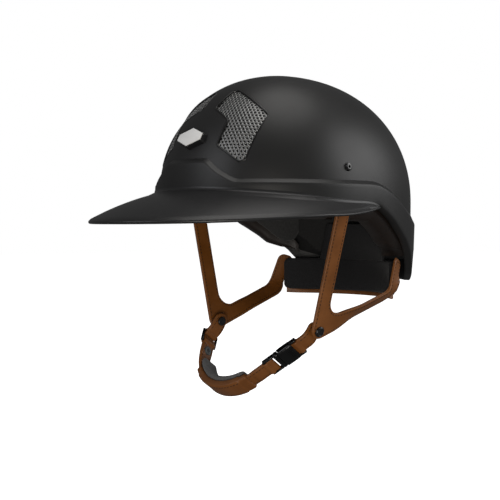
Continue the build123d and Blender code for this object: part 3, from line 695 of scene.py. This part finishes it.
def end_turn(y_end, out):
    """Plan angle at which the crown's plan reaches a y behind the origin."""
    angles = np.linspace(math.pi / 2, math.pi, 400)
    return float(np.interp(y_end, plan_point(angles, out)[1], angles))


def crown_layer(name, y_end, material, section):
    """Open layer of lining up to y_end on both sides; section(turn) gives its (out, z) pairs."""
    stop = end_turn(y_end, -25.0)
    turns = np.linspace(-stop, stop, 260)
    return stacked(name, [crown_profile(turn, section(turn)) for turn in turns], material, 55)


def rim_section(turn):
    """Padded rim: open to the shell, round below, with a relief behind each side strap."""
    y = float(plan_point(turn, -10)[1])
    rim = float(rim_height(y))
    relief = min(1.0, max(0.0, (16 - abs(y + 12)) / 4))
    face = -3.4 - 12.2 * relief * relief * (3 - 2 * relief)
    hang = float(np.interp(y, [-60, -5, 30, 62, 76, 86, 91], [0.42, 0.62, 1, 1, 0.65, 0.2, 0.05]))
    return [(out, rim + (drop * hang if drop < 0 else drop)) for out, drop in (
        (face, 9), (face, -4), (face - 0.6, -9),
        (min(face - 2.2, -6.5), -12.6), (min(face - 4.5, -10), -14.6),
        (-18.5, -15), (-21.6, -14), (-23.7, -11.8), (-24.8, -8.2), (-25.1, -3), (-25.0, 9))]


rim_pad = crown_layer("padded_rim", 84, rim_leather, rim_section)
place(rim_pad, "helmet", "leather_dark", "rim_band")


def liner_section(turn):
    """Comfort liner: thin, with soft edges above and below."""
    y = float(plan_point(turn, -25)[1])
    low = float(rim_height(y)) + float(np.interp(
        y, [-60, 0, 56, 66, 72, 76, 79, 82, 84], [2, -4, -9, -8.5, -6, -3, 0.5, 6, 13]))
    high = float(np.interp(y, [-130, 60, 90, 96], [70, 60, 20, -22]))
    share = np.linspace(0, 1, 14)[1:-1]
    outside = [(-25.3, low + (high - low) * t) for t in share]
    inside = [(-29.4, low + (high - low) * t) for t in share[::-1]]
    return ([(-26.4, low - 0.2)] + outside + [(-26.0, high - 0.5), (-27.3, high), (-28.7, high - 0.5)]
            + inside + [(-28.8, low + 0.3), (-27.6, low - 0.5)])


liner = crown_layer("comfort_liner_pad", 84, grey_tricot, liner_section)
place(liner, "helmet", "liner_fabric", "comfort_liner")


def crown_height(x, y, out):
    """Height of the crown's face, moved by out, over plan points."""
    half = np.where(y < 0, CROWN_FRONT, CROWN_REAR) + out
    plan = np.abs(x / (CROWN_SIDE + out)) ** PLAN_POWER + np.abs(y / half) ** PLAN_POWER
    level = np.clip(1 - plan ** (SIDE_POWER / PLAN_POWER), 0, 1)
    return WIDEST_Z + (CROWN_RISE + out) * level ** (1 / SIDE_POWER)


pad_outline = resampled(rounded_outline([(-38, -36), (38, -36), (38, 58), (-38, 58)], [26] * 4), 3.0)
pad_middle = np.array([0.0, 8.0])
rings = []
for grow, out in ([(k, -29.3) for k in (0.02, 0.25, 0.5, 0.75, 0.92)]
                  + [(0.975, -28.6), (1.0, -27.0), (0.98, -25.3), (0.94, -24.6)]
                  + [(k, -24.5) for k in (0.75, 0.5, 0.25, 0.02)]):
    flat = pad_middle + (pad_outline - pad_middle) * grow
    rings.append(np.column_stack([flat, crown_height(flat[:, 0], flat[:, 1], out)]))
top_pad = stacked("crown_cushion", rings, grey_tricot, 60)
place(top_pad, "helmet", "liner_fabric", "crown_pad")

# ==== Cheek straps ==========================================================================
# Two layers of tan bridle leather cut as one flat Y on each side, edges rounded and burnished,
# with a row of waxed thread 2 mm in from the edge on both faces.
LEATHER_T = 3.0
CHEEK_ORIGIN = np.array([73.8, -17.0, -99.5])
CHEEK_OUT = np.array([0.963, 0.0254, -0.2683])
CHEEK_BACK = np.array([-0.0245, 0.9993, 0.0068])
CHEEK_OUT /= np.linalg.norm(CHEEK_OUT)
CHEEK_BACK -= CHEEK_OUT * (CHEEK_BACK @ CHEEK_OUT)
CHEEK_BACK /= np.linalg.norm(CHEEK_BACK)
CHEEK_UP = np.cross(CHEEK_OUT, CHEEK_BACK)

# vegetable-tanned leather: pores about 1 mm, a slow drift of tone over about 30 mm
tan_leather, tree, shader = new_material("tan_bridle_leather", "#7d4a1c", 0.5)
pores = weave_bump(tree, shader, 1100, 0.22)
coords = add_node(tree, "ShaderNodeTexCoord")
drift = add_node(tree, "ShaderNodeTexNoise", {"Vector": coords.outputs["Object"]},
                 Scale=34, Detail=6, Roughness=0.62)
tinted(tree, shader, drift, "#70400f", "#8a5424")
tree.links.new(add_node(tree, "ShaderNodeMapRange", {"Value": pores.outputs["Fac"]},
                        To_Min=0.38, To_Max=0.56).outputs["Result"], shader.inputs["Roughness"])


def stitches(name, rows, body, slot):
    """Short round-ended stitches; rows holds (points, directions, outward normals) in millimetres."""
    points, faces = [], []
    for places, ways, outs in rows:
        for p, way, out in zip(places, ways, outs):
            across = np.cross(out, way)
            for along, size in ((-1.15, 0.12), (-0.8, 0.32), (0.8, 0.32), (1.15, 0.12)):
                for k in range(6):
                    a = math.pi * k / 3
                    points.append(p + way * along + size * (across * math.cos(a) + 0.8 * out * math.sin(a)))
            start = len(points) - 24
            faces += grid_faces(4, 6, start=start)
            faces += [[start + k for k in range(6)][::-1], [start + 18 + k for k in range(6)]]
    return place(new_piece(name, points, faces, thread, 60), body, slot)


def crossing(p, d, q, e):
    """Point where the line through p along d meets the line through q along e."""
    share = np.linalg.solve(np.array([d, -np.asarray(e)]).T, np.asarray(q) - np.asarray(p))[0]
    return np.asarray(p) + share * np.asarray(d)


def left_of(d):
    """Plane direction a quarter turn to the left of another."""
    return np.array([-d[1], d[0]])


def unit(v):
    """Vector of length 1 the same way."""
    return np.array(v, float) / np.linalg.norm(v)


def unit_rows(vectors):
    """Each row scaled to length 1."""
    return vectors / np.linalg.norm(vectors, axis=1, keepdims=True)


# middle lines of the arms, back and up from the snap
front_end, rear_bend, rear_end = np.array([1.2, 110.0]), np.array([87.0, 31.0]), np.array([98.0, 57.0])
front_way, rear_way, tail_way = unit(front_end), unit(rear_bend), unit(rear_end - rear_bend)
CHEEK_HALF, TUCK = 8.0, 8.0        # half the arms' width, and how far each end is tucked in
front_side, rear_side, tail_side = (CHEEK_HALF * left_of(way) for way in (front_way, rear_way, tail_way))
front_stop, rear_stop = front_end + TUCK * front_way, rear_end + TUCK * tail_way
cheek_corners = [
    crossing(front_side, front_way, -rear_side, rear_way),
    crossing(-rear_side, rear_way, rear_bend - tail_side, tail_way),
    rear_stop - tail_side, rear_stop + tail_side,
    crossing(rear_bend + tail_side, tail_way, rear_side, rear_way),
    crossing(rear_side, rear_way, -front_side, front_way),
    front_stop - front_side, front_stop + front_side]
cheek_outline = resampled(rounded_outline(cheek_corners, [9.5, 26, 6, 6, 16, 12, 3, 3]), 1.0)
CHEEK_LEAN = math.radians(34)      # the rear arm twists until its upper edge leans out this far
ARM_UP = left_of(rear_way)[0] * CHEEK_BACK + left_of(rear_way)[1] * CHEEK_UP


def cheek_lean(flat):
    """Twist of the strap at plane points: none on the front arm, full on the rear arm."""
    t = np.clip((flat[:, :1] - 16) / 34, 0, 1)
    return CHEEK_LEAN * t * t * (3 - 2 * t)


def cheek_outs(flat):
    """Outward directions of the strap's outer face."""
    lean = cheek_lean(flat)
    return np.cos(lean) * CHEEK_OUT - np.sin(lean) * ARM_UP


def cheek_place(flat, out, side=1):
    """Points on the cheek strap's middle surface moved outwards."""
    lean = cheek_lean(flat)
    above = (flat @ left_of(rear_way))[:, None]
    arm = np.clip(above, -CHEEK_HALF, CHEEK_HALF)
    lift = np.where(above > CHEEK_HALF, CHEEK_HALF - 0.4 * (above - CHEEK_HALF), arm) * np.sin(lean)
    lift -= 0.5 * np.clip(above / 12, 0, 1) * np.clip(flat[:, :1] - 82, 0, None)
    placed = (CHEEK_ORIGIN + flat[:, :1] * CHEEK_BACK + flat[:, 1:2] * CHEEK_UP
              + lift * CHEEK_OUT - arm * (1 - np.cos(lean)) * ARM_UP + out * cheek_outs(flat))
    return placed * np.array([side, 1, 1])


LEATHER_EDGE = [(1.5, -1.42), (0.8, -1.5), (0.25, -1.3), (0.0, -0.8), (0.0, -0.12), (0.14, 0.0), (0.0, 0.12),
                (0.0, 0.8), (0.25, 1.3), (0.8, 1.5), (1.5, 1.42)]
STITCH_PITCH = 3.4
for side, word in ((1, "left"), (-1, "right")):
    mirror = np.array([side, 1, 1])
    rings = [np.column_stack([grown(cheek_outline, -inset), np.full(len(cheek_outline), out)])
             for inset, out in LEATHER_EDGE]
    strap = stacked(word + "_cheek_leather", rings, tan_leather, 50)
    bm = bmesh.new()
    bm.from_mesh(strap.data)
    for way, cuts in (((1, 0, 0), range(8, 104, 4)), ((0, 1, 0), range(-8, 60, 6))):
        for cut in cuts:
            bmesh.ops.bisect_plane(bm, geom=bm.verts[:] + bm.edges[:] + bm.faces[:], dist=1e-7,
                                   plane_co=Vector(way) * cut * MM, plane_no=way)
    for v in bm.verts:
        x, y, out = np.array(v.co) / MM
        v.co = cheek_place(np.array([[x, y]]), out, side)[0] * MM
    bmesh.ops.recalc_face_normals(bm, faces=bm.faces)
    bm.to_mesh(strap.data)
    bm.free()
    place(strap, "helmet", "leather", word + "_cheek_strap", word + "_rear_tab")
    seam = resampled(grown(cheek_outline, -2.3), STITCH_PITCH)
    ways = np.roll(seam, -1, 0) - np.roll(seam, 1, 0)
    ways = unit_rows((ways[:, :1] * CHEEK_BACK + ways[:, 1:2] * CHEEK_UP) * mirror)
    out_ways = cheek_outs(seam) * mirror
    stitches(word + "_cheek_stitching", [(cheek_place(seam, 1.5 * face, side), ways, out_ways * face)
                                         for face in (1, -1)], "helmet", "leather")
    cap = stacked(word + "_snap_button", turned(
        (CHEEK_ORIGIN + LEATHER_T / 2 * CHEEK_OUT) * mirror, CHEEK_OUT * mirror,
        [(-0.2, 4.6), (0.1, 5.0), (1.1, 5.0), (1.8, 4.7), (2.2, 4.0), (2.25, 3.5), (2.0, 3.2), (2.0, 1.2),
         (2.15, 0.5)]), lacquered_steel, 40)
    place(cap, "helmet", "black_metal", word + "_snap_cap")

# ==== Nape pad ==============================================================================
# A curved pad of black softshell below the shell's rear edge, hung on a thin panel and bound
# along its lower edge with a strip of tan leather.
softshell, tree, shader = new_material("black_softshell", "#17171a", 0.85, Sheen_Weight=0.1)
tinted(tree, shader, weave_bump(tree, shader, 1500, 0.4), "#141416", "#1d1d20")


def flat_bar(width, thick, corner, arc=4):
    """Ring (across, out) of a flat section with rounded edges."""
    corner = min(corner, 0.49 * width, 0.49 * thick)
    ring = []
    for sx, sy, start in ((1, 1, 0), (-1, 1, 90), (-1, -1, 180), (1, -1, 270)):
        for k in range(arc + 1):
            a = math.radians(start + 90 * k / arc)
            ring.append((sx * (width / 2 - corner) + corner * math.cos(a),
                         sy * (thick / 2 - corner) + corner * math.sin(a)))
    return np.array(ring)


def swept_strap(name, path, across, widths, thicks, corner, material):
    """Flat strap along a path of points, its width along one direction."""
    outs = unit_rows(np.cross(unit_rows(np.gradient(path, axis=0)), across))
    widths, thicks = np.broadcast_to(widths, len(path)), np.broadcast_to(thicks, len(path))
    rings = []
    for p, out, w, t in zip(path, outs, widths, thicks):
        ring = flat_bar(w, t, corner)
        rings.append(p + ring[:, :1] * across + ring[:, 1:] * out)
    return stacked(name, rings, material, 55)


def round_end(distance, reach):
    """How far a round end of that reach has fallen back at a distance from its tip, 0 to 1."""
    d = np.clip(distance / reach, 0, 1)
    return np.sqrt(np.maximum(1 - (1 - d) ** 2, 1e-4))


def nape_arc(half_width, radius, count):
    """Plan points round the nape and their distance from the nearer end."""
    stop = math.asin(half_width / radius)
    angle = np.linspace(-stop, stop, count)
    path = np.column_stack([radius * np.sin(angle), 10 + radius * np.cos(angle), np.zeros(count)])
    return path, (stop - np.abs(angle)) * radius


NAPE_Z, PANEL_FOOT, BINDING_Z = -54.5, -38.5, -72.7
up = np.array([0.0, 0.0, 1.0])
path, from_end = nape_arc(77, 103, 120)
height = 33 - 10 * (1 - round_end(from_end, 9))
path[:, 2] = NAPE_Z
pad = swept_strap("nape_cushion", path, up, height, 6.0 * round_end(from_end, 3.0), 2.6, softshell)
place(pad, "helmet", "nape_fabric", "nape_pad")
path, from_end = nape_arc(45, 101.9, 80)
top = np.interp(np.abs(path[:, 0]), [38, 45], [-2, -37])
path[:, 2] = (top + PANEL_FOOT) / 2
place(swept_strap("nape_panel", path, up, top - PANEL_FOOT, 2.7, 0.9, softshell),
      "helmet", "nape_fabric", "nape_hanger")
path, from_end = nape_arc(75, 102.8, 130)
flare = np.clip(1 - from_end / 16, 0, 1) ** 2
path[:, 2] = BINDING_Z + 3.0 * flare
place(swept_strap("nape_binding", path, up, 4.4 + 5 * flare, 3.2, 1.2, tan_leather),
      "helmet", "leather", "nape_trim")

# ==== Chin loop =============================================================================
# Stems, chin strap and ring hang from the two cheek snaps in one tilted plane. The leather folds
# round each bar and is stitched back on itself.
LOOP_AT = np.array([0, -17.0, -99.5])
LOOP_ACROSS = unit([0, 0.807, -0.5906])
LOOP_SIDE = np.array([1.0, 0, 0])
LOOP_DOWN = np.cross(LOOP_ACROSS, LOOP_SIDE)
CHIN_U, CHIN_V, CHIN_R, CHIN_W = -14.0, 19.5, 52.0, 15.0
BUCKLE_TURN, RING_TURN, BUCKLE_MID, RING_MID = math.radians(43), math.radians(158), 34.0, 19.0
EYE_R = 3.4
BUCKLE_BAR, RING_BAR, BAR_R = 17.5, 5.2, 1.3      # how far the bars lie from the middle, and their radius


def loop_place(flat, across=0.0):
    """Points of the loop plane from (u, v)."""
    flat = np.atleast_2d(flat)
    return LOOP_AT + flat[:, :1] * LOOP_SIDE + flat[:, 1:2] * LOOP_DOWN + across * LOOP_ACROSS


def arc_flat(turn, radius=CHIN_R):
    """Points (u, v) of the chin curve at angles."""
    return np.column_stack([CHIN_U + radius * np.cos(turn), CHIN_V + radius * np.sin(turn)])


def run_flat(turn, distance, side=1):
    """Point (u, v) on the straight run that leaves the chin curve at an angle."""
    a = arc_flat(np.array([turn]))[0]
    return a + side * distance * np.array([math.sin(turn), -math.cos(turn)])


def eased(corners, cut, step=0.7):
    """Open path through corners, each bend eased over a cut on both sides, evenly spaced."""
    corners = [np.array(c, float) for c in corners]
    path = [corners[0]]
    for before, here, after in zip(corners, corners[1:], corners[2:]):
        a, b = here + unit(before - here) * cut, here + unit(after - here) * cut
        path += [(1 - t) ** 2 * a + 2 * t * (1 - t) * here + t * t * b for t in np.linspace(0, 1, 9)]
    path = np.array(path + [corners[-1]])
    run = np.concatenate([[0], np.cumsum(np.linalg.norm(np.diff(path, axis=0), axis=1))])
    marks = np.linspace(0, run[-1], int(run[-1] / step) + 2)
    return np.stack([np.interp(marks, run, path[:, i]) for i in range(path.shape[1])], 1)


def at_marks(marks, run, *tracks):
    """Tracks of points or directions read at distances along a path."""
    return [np.stack([np.interp(marks, run, track[:, i]) for i in range(3)], 1) for track in tracks]


def eyed_strap(name, flat, bar, body, nodes, width=CHIN_W, round_start=False):
    """Leather strap along a flat path that ends by wrapping a bar, with stitching; returns it."""
    run = np.concatenate([[0], np.cumsum(np.linalg.norm(np.diff(flat, axis=0), axis=1))])
    from_bar = np.linalg.norm(flat - bar, axis=1)
    swell = 2 * np.sqrt(np.maximum(EYE_R ** 2 - from_bar ** 2, 0.01))
    fold = LEATHER_T + 0.7 * np.clip((16 - from_bar) / 2, 0, 1)
    thick = np.maximum(fold, swell) * round_end(run[-1] - run, 1.4)
    wide = width * (round_end(run, width / 2) if round_start else np.ones(len(run)))
    path = loop_place(flat)
    strap = swept_strap(name, path, LOOP_ACROSS, wide, thick, 0.9, tan_leather)
    place(strap, body, "leather", *nodes)
    ways = unit_rows(np.gradient(path, axis=0))
    marks = np.arange(8.0 if round_start else 2.0, run[-1] - 9.5, STITCH_PITCH)
    spot, way, out = at_marks(marks, run, path, ways, np.cross(ways, LOOP_ACROSS))
    lift = np.interp(marks, run, thick)[:, None] / 2
    rows = [(spot + edge * (width / 2 - 2.2) * LOOP_ACROSS + face * out * lift, way, face * out)
            for edge in (1, -1) for face in (1, -1)]
    return strap, stitches(name + "_stitching", rows, body, "leather")


socket_bar, tongue_bar = (run_flat(BUCKLE_TURN, BUCKLE_MID + reach) for reach in (BUCKLE_BAR, -BUCKLE_BAR))
ring_low, ring_high = (run_flat(RING_TURN, RING_MID + reach, -1) for reach in (-RING_BAR, RING_BAR))


def past(start, bar, beyond=1.9):
    """The point beyond a bar where the leather turns back on itself."""
    return bar + unit(bar - np.asarray(start)) * (EYE_R + beyond)


for word, bend, bar, node in (("left", (67.5, 8.4), socket_bar, "left_stem"),
                              ("right", (-67.5, 11.0), ring_high, "right_stem")):
    top_of_tab = (bend[0], -8.0)
    eyed_strap(word + "_stem_leather", eased([top_of_tab, bend, past(bend, bar)], 5.0), bar, "chin_loop",
               [node], round_start=True)

arc_turns = np.linspace(BUCKLE_TURN, RING_TURN, 110)
chin_flat = np.vstack([arc_flat(arc_turns), past(arc_flat(arc_turns[-1:])[0], ring_low, 2.3)])
eyed_strap("chin_leather", eased(list(chin_flat), 0.01), ring_low, "chin_loop", ["chin_strap"])

end_start = run_flat(BUCKLE_TURN, 0.2)
end_flat = eased([end_start, past(end_start, tongue_bar, 5.0)], 1.0, 0.5)
end_strap, end_seam = eyed_strap("buckle_tail_leather", end_flat, tongue_bar, "chin_loop", ["strap_end"])
held_at = loop_place(run_flat(BUCKLE_TURN, 0.0))[0]
to_chin = unit(held_at - loop_place(run_flat(BUCKLE_TURN, 10.0))[0])
for piece in (end_strap, end_seam):
    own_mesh(piece)

# ==== Chin cover ============================================================================
# A sleeve of the same leather, seamed along both edges and stepped at its ends, with a grey
# tricot pad inside the curve.
cover_turns = np.radians(np.linspace(48.5, 133, 100))
cover_run = (cover_turns - cover_turns[0]) * CHIN_R
from_end = np.minimum(cover_run, cover_run[-1] - cover_run)
thick = 7.4 - 2.2 * (1 - round_end(from_end, 1.6)) - 1.1 * (from_end < 9)
wide = 19.4 - 1.0 * (1 - round_end(from_end, 1.6)) - 0.8 * (from_end < 9)
path = loop_place(arc_flat(cover_turns, 52.1))
cover = swept_strap("chin_sleeve", path, LOOP_ACROSS, wide, thick, 2.0, tan_leather)
place(cover, "cover", "leather", "chin_cover")
ways = unit_rows(np.gradient(path, axis=0))
outs = np.cross(ways, LOOP_ACROSS)
outs *= np.sign(np.sum(outs * (path - loop_place([CHIN_U, CHIN_V])), axis=1))[:, None]
marks = np.arange(11.0, cover_run[-1] - 11, STITCH_PITCH)
spot, way, out = at_marks(marks, cover_run, path, ways, outs)
stitches("chin_sleeve_stitching",
         [(spot + edge * 7.0 * LOOP_ACROSS + out * 3.7, way, out) for edge in (1, -1)], "cover", "leather")
PAD_R = 45.6
pad_turns = np.radians(np.linspace(50, 144, 90))
pad_run = (pad_turns - pad_turns[0]) * PAD_R
from_end = np.minimum(pad_run, pad_run[-1] - pad_run)
dimple = -1.6 * np.clip(1 - pad_run / 22, 0, 1)
chin_cushion = swept_strap("chin_cushion", loop_place(arc_flat(pad_turns, PAD_R)), LOOP_ACROSS,
                           19.0 - 6 * (1 - round_end(from_end, 6)), (5.3 + dimple) * round_end(from_end, 3.5),
                           2.3, chin_tricot)
place(chin_cushion, "cover", "chin_fabric", "chin_pad")

# ==== Side-release buckle ===================================================================
# Black acetal: a socket with side windows, a tongue with two sprung prongs, and a bar at each end
# for the leather. Edges are moulded round and the faces slightly crowned.
acetal, tree, shader = new_material("black_acetal", "#070707", 0.28, IOR=1.48)
fine_grain(tree, shader, 1800, 2, 0.15)

BUCKLE_AT = loop_place(run_flat(BUCKLE_TURN, BUCKLE_MID))[0]
BUCKLE_OUT = unit(math.cos(BUCKLE_TURN) * LOOP_SIDE + math.sin(BUCKLE_TURN) * LOOP_DOWN)
BUCKLE_WIDE = np.cross(BUCKLE_OUT, to_chin)


def block_along(name, at, axes, sections, material):
    """Solid through rounded sections (along, width, thickness, corner, across, out) on three axes."""
    rings = []
    for along, width, thick, corner, across, out in sections:
        ring = flat_bar(width, thick, corner)
        rings.append(at + axes[0] * along + (ring[:, :1] + across) * axes[1] + (ring[:, 1:] + out) * axes[2])
    return stacked(name, rings, material, 40)


def joined(name, *pieces):
    """One object from several."""
    bpy.ops.object.select_all(action="DESELECT")
    for piece in pieces:
        piece.select_set(True)
    bpy.context.view_layer.objects.active = pieces[0]
    bpy.ops.object.join()
    pieces[0].name = name
    return pieces[0]


def slab(at, axes, start, stop, width, thick, across=0.0, out=0.0, corner=0.5):
    """Straight bar with softened edges and ends."""
    ends = ((start, 0.5), (start + 0.25, 0.12), (start + 0.5, 0),
            (stop - 0.5, 0), (stop - 0.25, 0.12), (stop, 0.5))
    sections = [(x, width - 2 * c, thick - 2 * c, corner, across, out) for x, c in ends]
    return block_along("slab", at, axes, sections, acetal)


def rod(at, axis, reach):
    """Round bar across a buckle or ring."""
    pairs = [(-reach, BAR_R), (0, BAR_R), (reach, BAR_R)]
    return stacked("rod", turned(at, axis, pairs, count=24), acetal)


buckle_axes = (to_chin, BUCKLE_WIDE, BUCKLE_OUT)
body = block_along("buckle_body", BUCKLE_AT, buckle_axes, [
    (-13.6, 16.6, 4.6, 1.4, 0, 0), (-13.3, 18.4, 6.0, 1.8, 0, 0), (-12.6, 19.6, 7.2, 2.0, 0, 0),
    (-11, 20, 7.7, 2.1, 0, 0), (-5, 20, 7.9, 2.1, 0, 0), (0.6, 20, 7.7, 2.1, 0, 0),
    (1.6, 19.7, 7.4, 2.0, 0, 0), (2.0, 19.2, 6.9, 1.8, 0, 0)], acetal)
sharp = 0.02
cut_out(body, [block_along("cutter", BUCKLE_AT, buckle_axes, [(x, w, t, sharp, 0, 0) for x in ends], acetal)
               for ends, w, t in (((-10, 4), 16.6, 4.4), ((-8.6, 4), 30, 4.0))])
body.data.set_sharp_from_angle(angle=math.radians(35))
ribs = [slab(BUCKLE_AT, buckle_axes, x, x + 0.9, 11, 0.8, 0, face * 3.95, 0.3) for x in (-11.2, -9.4, -7.6)
        for face in (1, -1)]
arms = [slab(BUCKLE_AT, buckle_axes, -19.6, -12.4, 2.0, 4.6, across) for across in (9.0, -9.0)]
socket = joined("buckle_socket_moulding", body, *ribs, *arms,
                rod(BUCKLE_AT - BUCKLE_BAR * to_chin, BUCKLE_WIDE, 9.0))
place(socket, "chin_loop", "hardware", "buckle_socket", "socket_face", "socket_back")
shoulder = block_along("shoulder", BUCKLE_AT, buckle_axes, [
    (2.2, 18.4, 4.2, 1.2, 0, 0), (2.7, 19.2, 6.0, 1.8, 0, 0), (4.5, 19.4, 6.9, 2.0, 0, 0),
    (6.2, 19.2, 6.0, 1.8, 0, 0), (7.2, 18.2, 4.4, 1.2, 0, 0)], acetal)
tongue_arms = [slab(BUCKLE_AT, buckle_axes, 6.6, 19.0, 1.9, 4.5, across) for across in (8.6, -8.6)]
tongue = joined("buckle_tongue_moulding", shoulder, *tongue_arms,
                slab(BUCKLE_AT, buckle_axes, -5.5, 2.6, 4.0, 3.0),
                rod(BUCKLE_AT + BUCKLE_BAR * to_chin, BUCKLE_WIDE, 8.6))
place(tongue, "tongue", "hardware", "buckle_tongue")
for side, word in ((1, "upper"), (-1, "lower")):
    corners = [(2.1, 5.0), (2.1, 7.4), (-3.0, 7.4), (-4.5, 9.1), (-8.0, 7.6), (-8.0, 5.0)]
    flat = rounded_outline([(x, side * y) for x, y in corners], [0.9, 0.9, 2, 0.8, 0.9, 0.9], 0.3)
    rings = [BUCKLE_AT + grown(flat, -inset)[:, :1] * to_chin + grown(flat, -inset)[:, 1:] * BUCKLE_WIDE
             + out * BUCKLE_OUT for inset, out in ((0.3, -1.6), (0, -1.3), (0, 1.3), (0.3, 1.6))]
    place(stacked(word + "_prong_spring", rings, acetal), word + "_prong", "hardware", word + "_prong")

# ==== Ring and lower snap ===================================================================
# A flat two-bar ring on the right, also acetal, and a press stud below it, gunmetal on its inner
# side.
RING_AT = loop_place(run_flat(RING_TURN, RING_MID, -1))[0]
ring_along = unit(loop_place(run_flat(RING_TURN, 0.0, -1))[0] - RING_AT)
ring_out = unit(math.cos(RING_TURN) * LOOP_SIDE + math.sin(RING_TURN) * LOOP_DOWN)
ring_axes = (ring_along, np.cross(ring_out, ring_along), ring_out)
ring = joined("two_bar_ring",
              *[slab(RING_AT, ring_axes, -7, 7, 2.6, 2.6, across, 0, 1.0) for across in (9.3, -9.3)],
              *[rod(RING_AT + reach * ring_along, ring_axes[1], 9.0) for reach in (RING_BAR, -RING_BAR)])
place(ring, "chin_loop", "hardware", "strap_ring")
gunmetal, tree, shader = new_material("gunmetal_plated_brass", "#5c5f5f", 0.45, Metallic=0.5)
fine_grain(tree, shader, 1400, 1, 0.1)
snap_at = loop_place(run_flat(RING_TURN, 4.0, -1))[0]
place(stacked("lower_snap_button", turned(snap_at + 1.5 * ring_out, ring_out, [
    (0, 4.2), (0.1, 4.5), (0.9, 4.5), (1.5, 4.1), (1.8, 3.4), (1.75, 2.6), (1.6, 1.0)]), lacquered_steel),
    "chin_loop", "black_metal", "lower_snap_cap")
place(stacked("lower_snap_socket", turned(snap_at - 1.5 * ring_out, -ring_out, [
    (0, 4.4), (0.2, 4.7), (0.9, 4.6), (1.3, 4.1), (1.3, 2.3), (0.7, 2.0), (0.6, 1.0)]), gunmetal),
    "chin_loop", "black_metal", "lower_snap_ring")
place(stacked("lower_snap_mouth", turned(snap_at - 1.5 * ring_out, -ring_out, [
    (0.3, 2.2), (0.85, 2.2), (0.85, 1.0)]), lacquered_steel), "chin_loop", "black_metal")
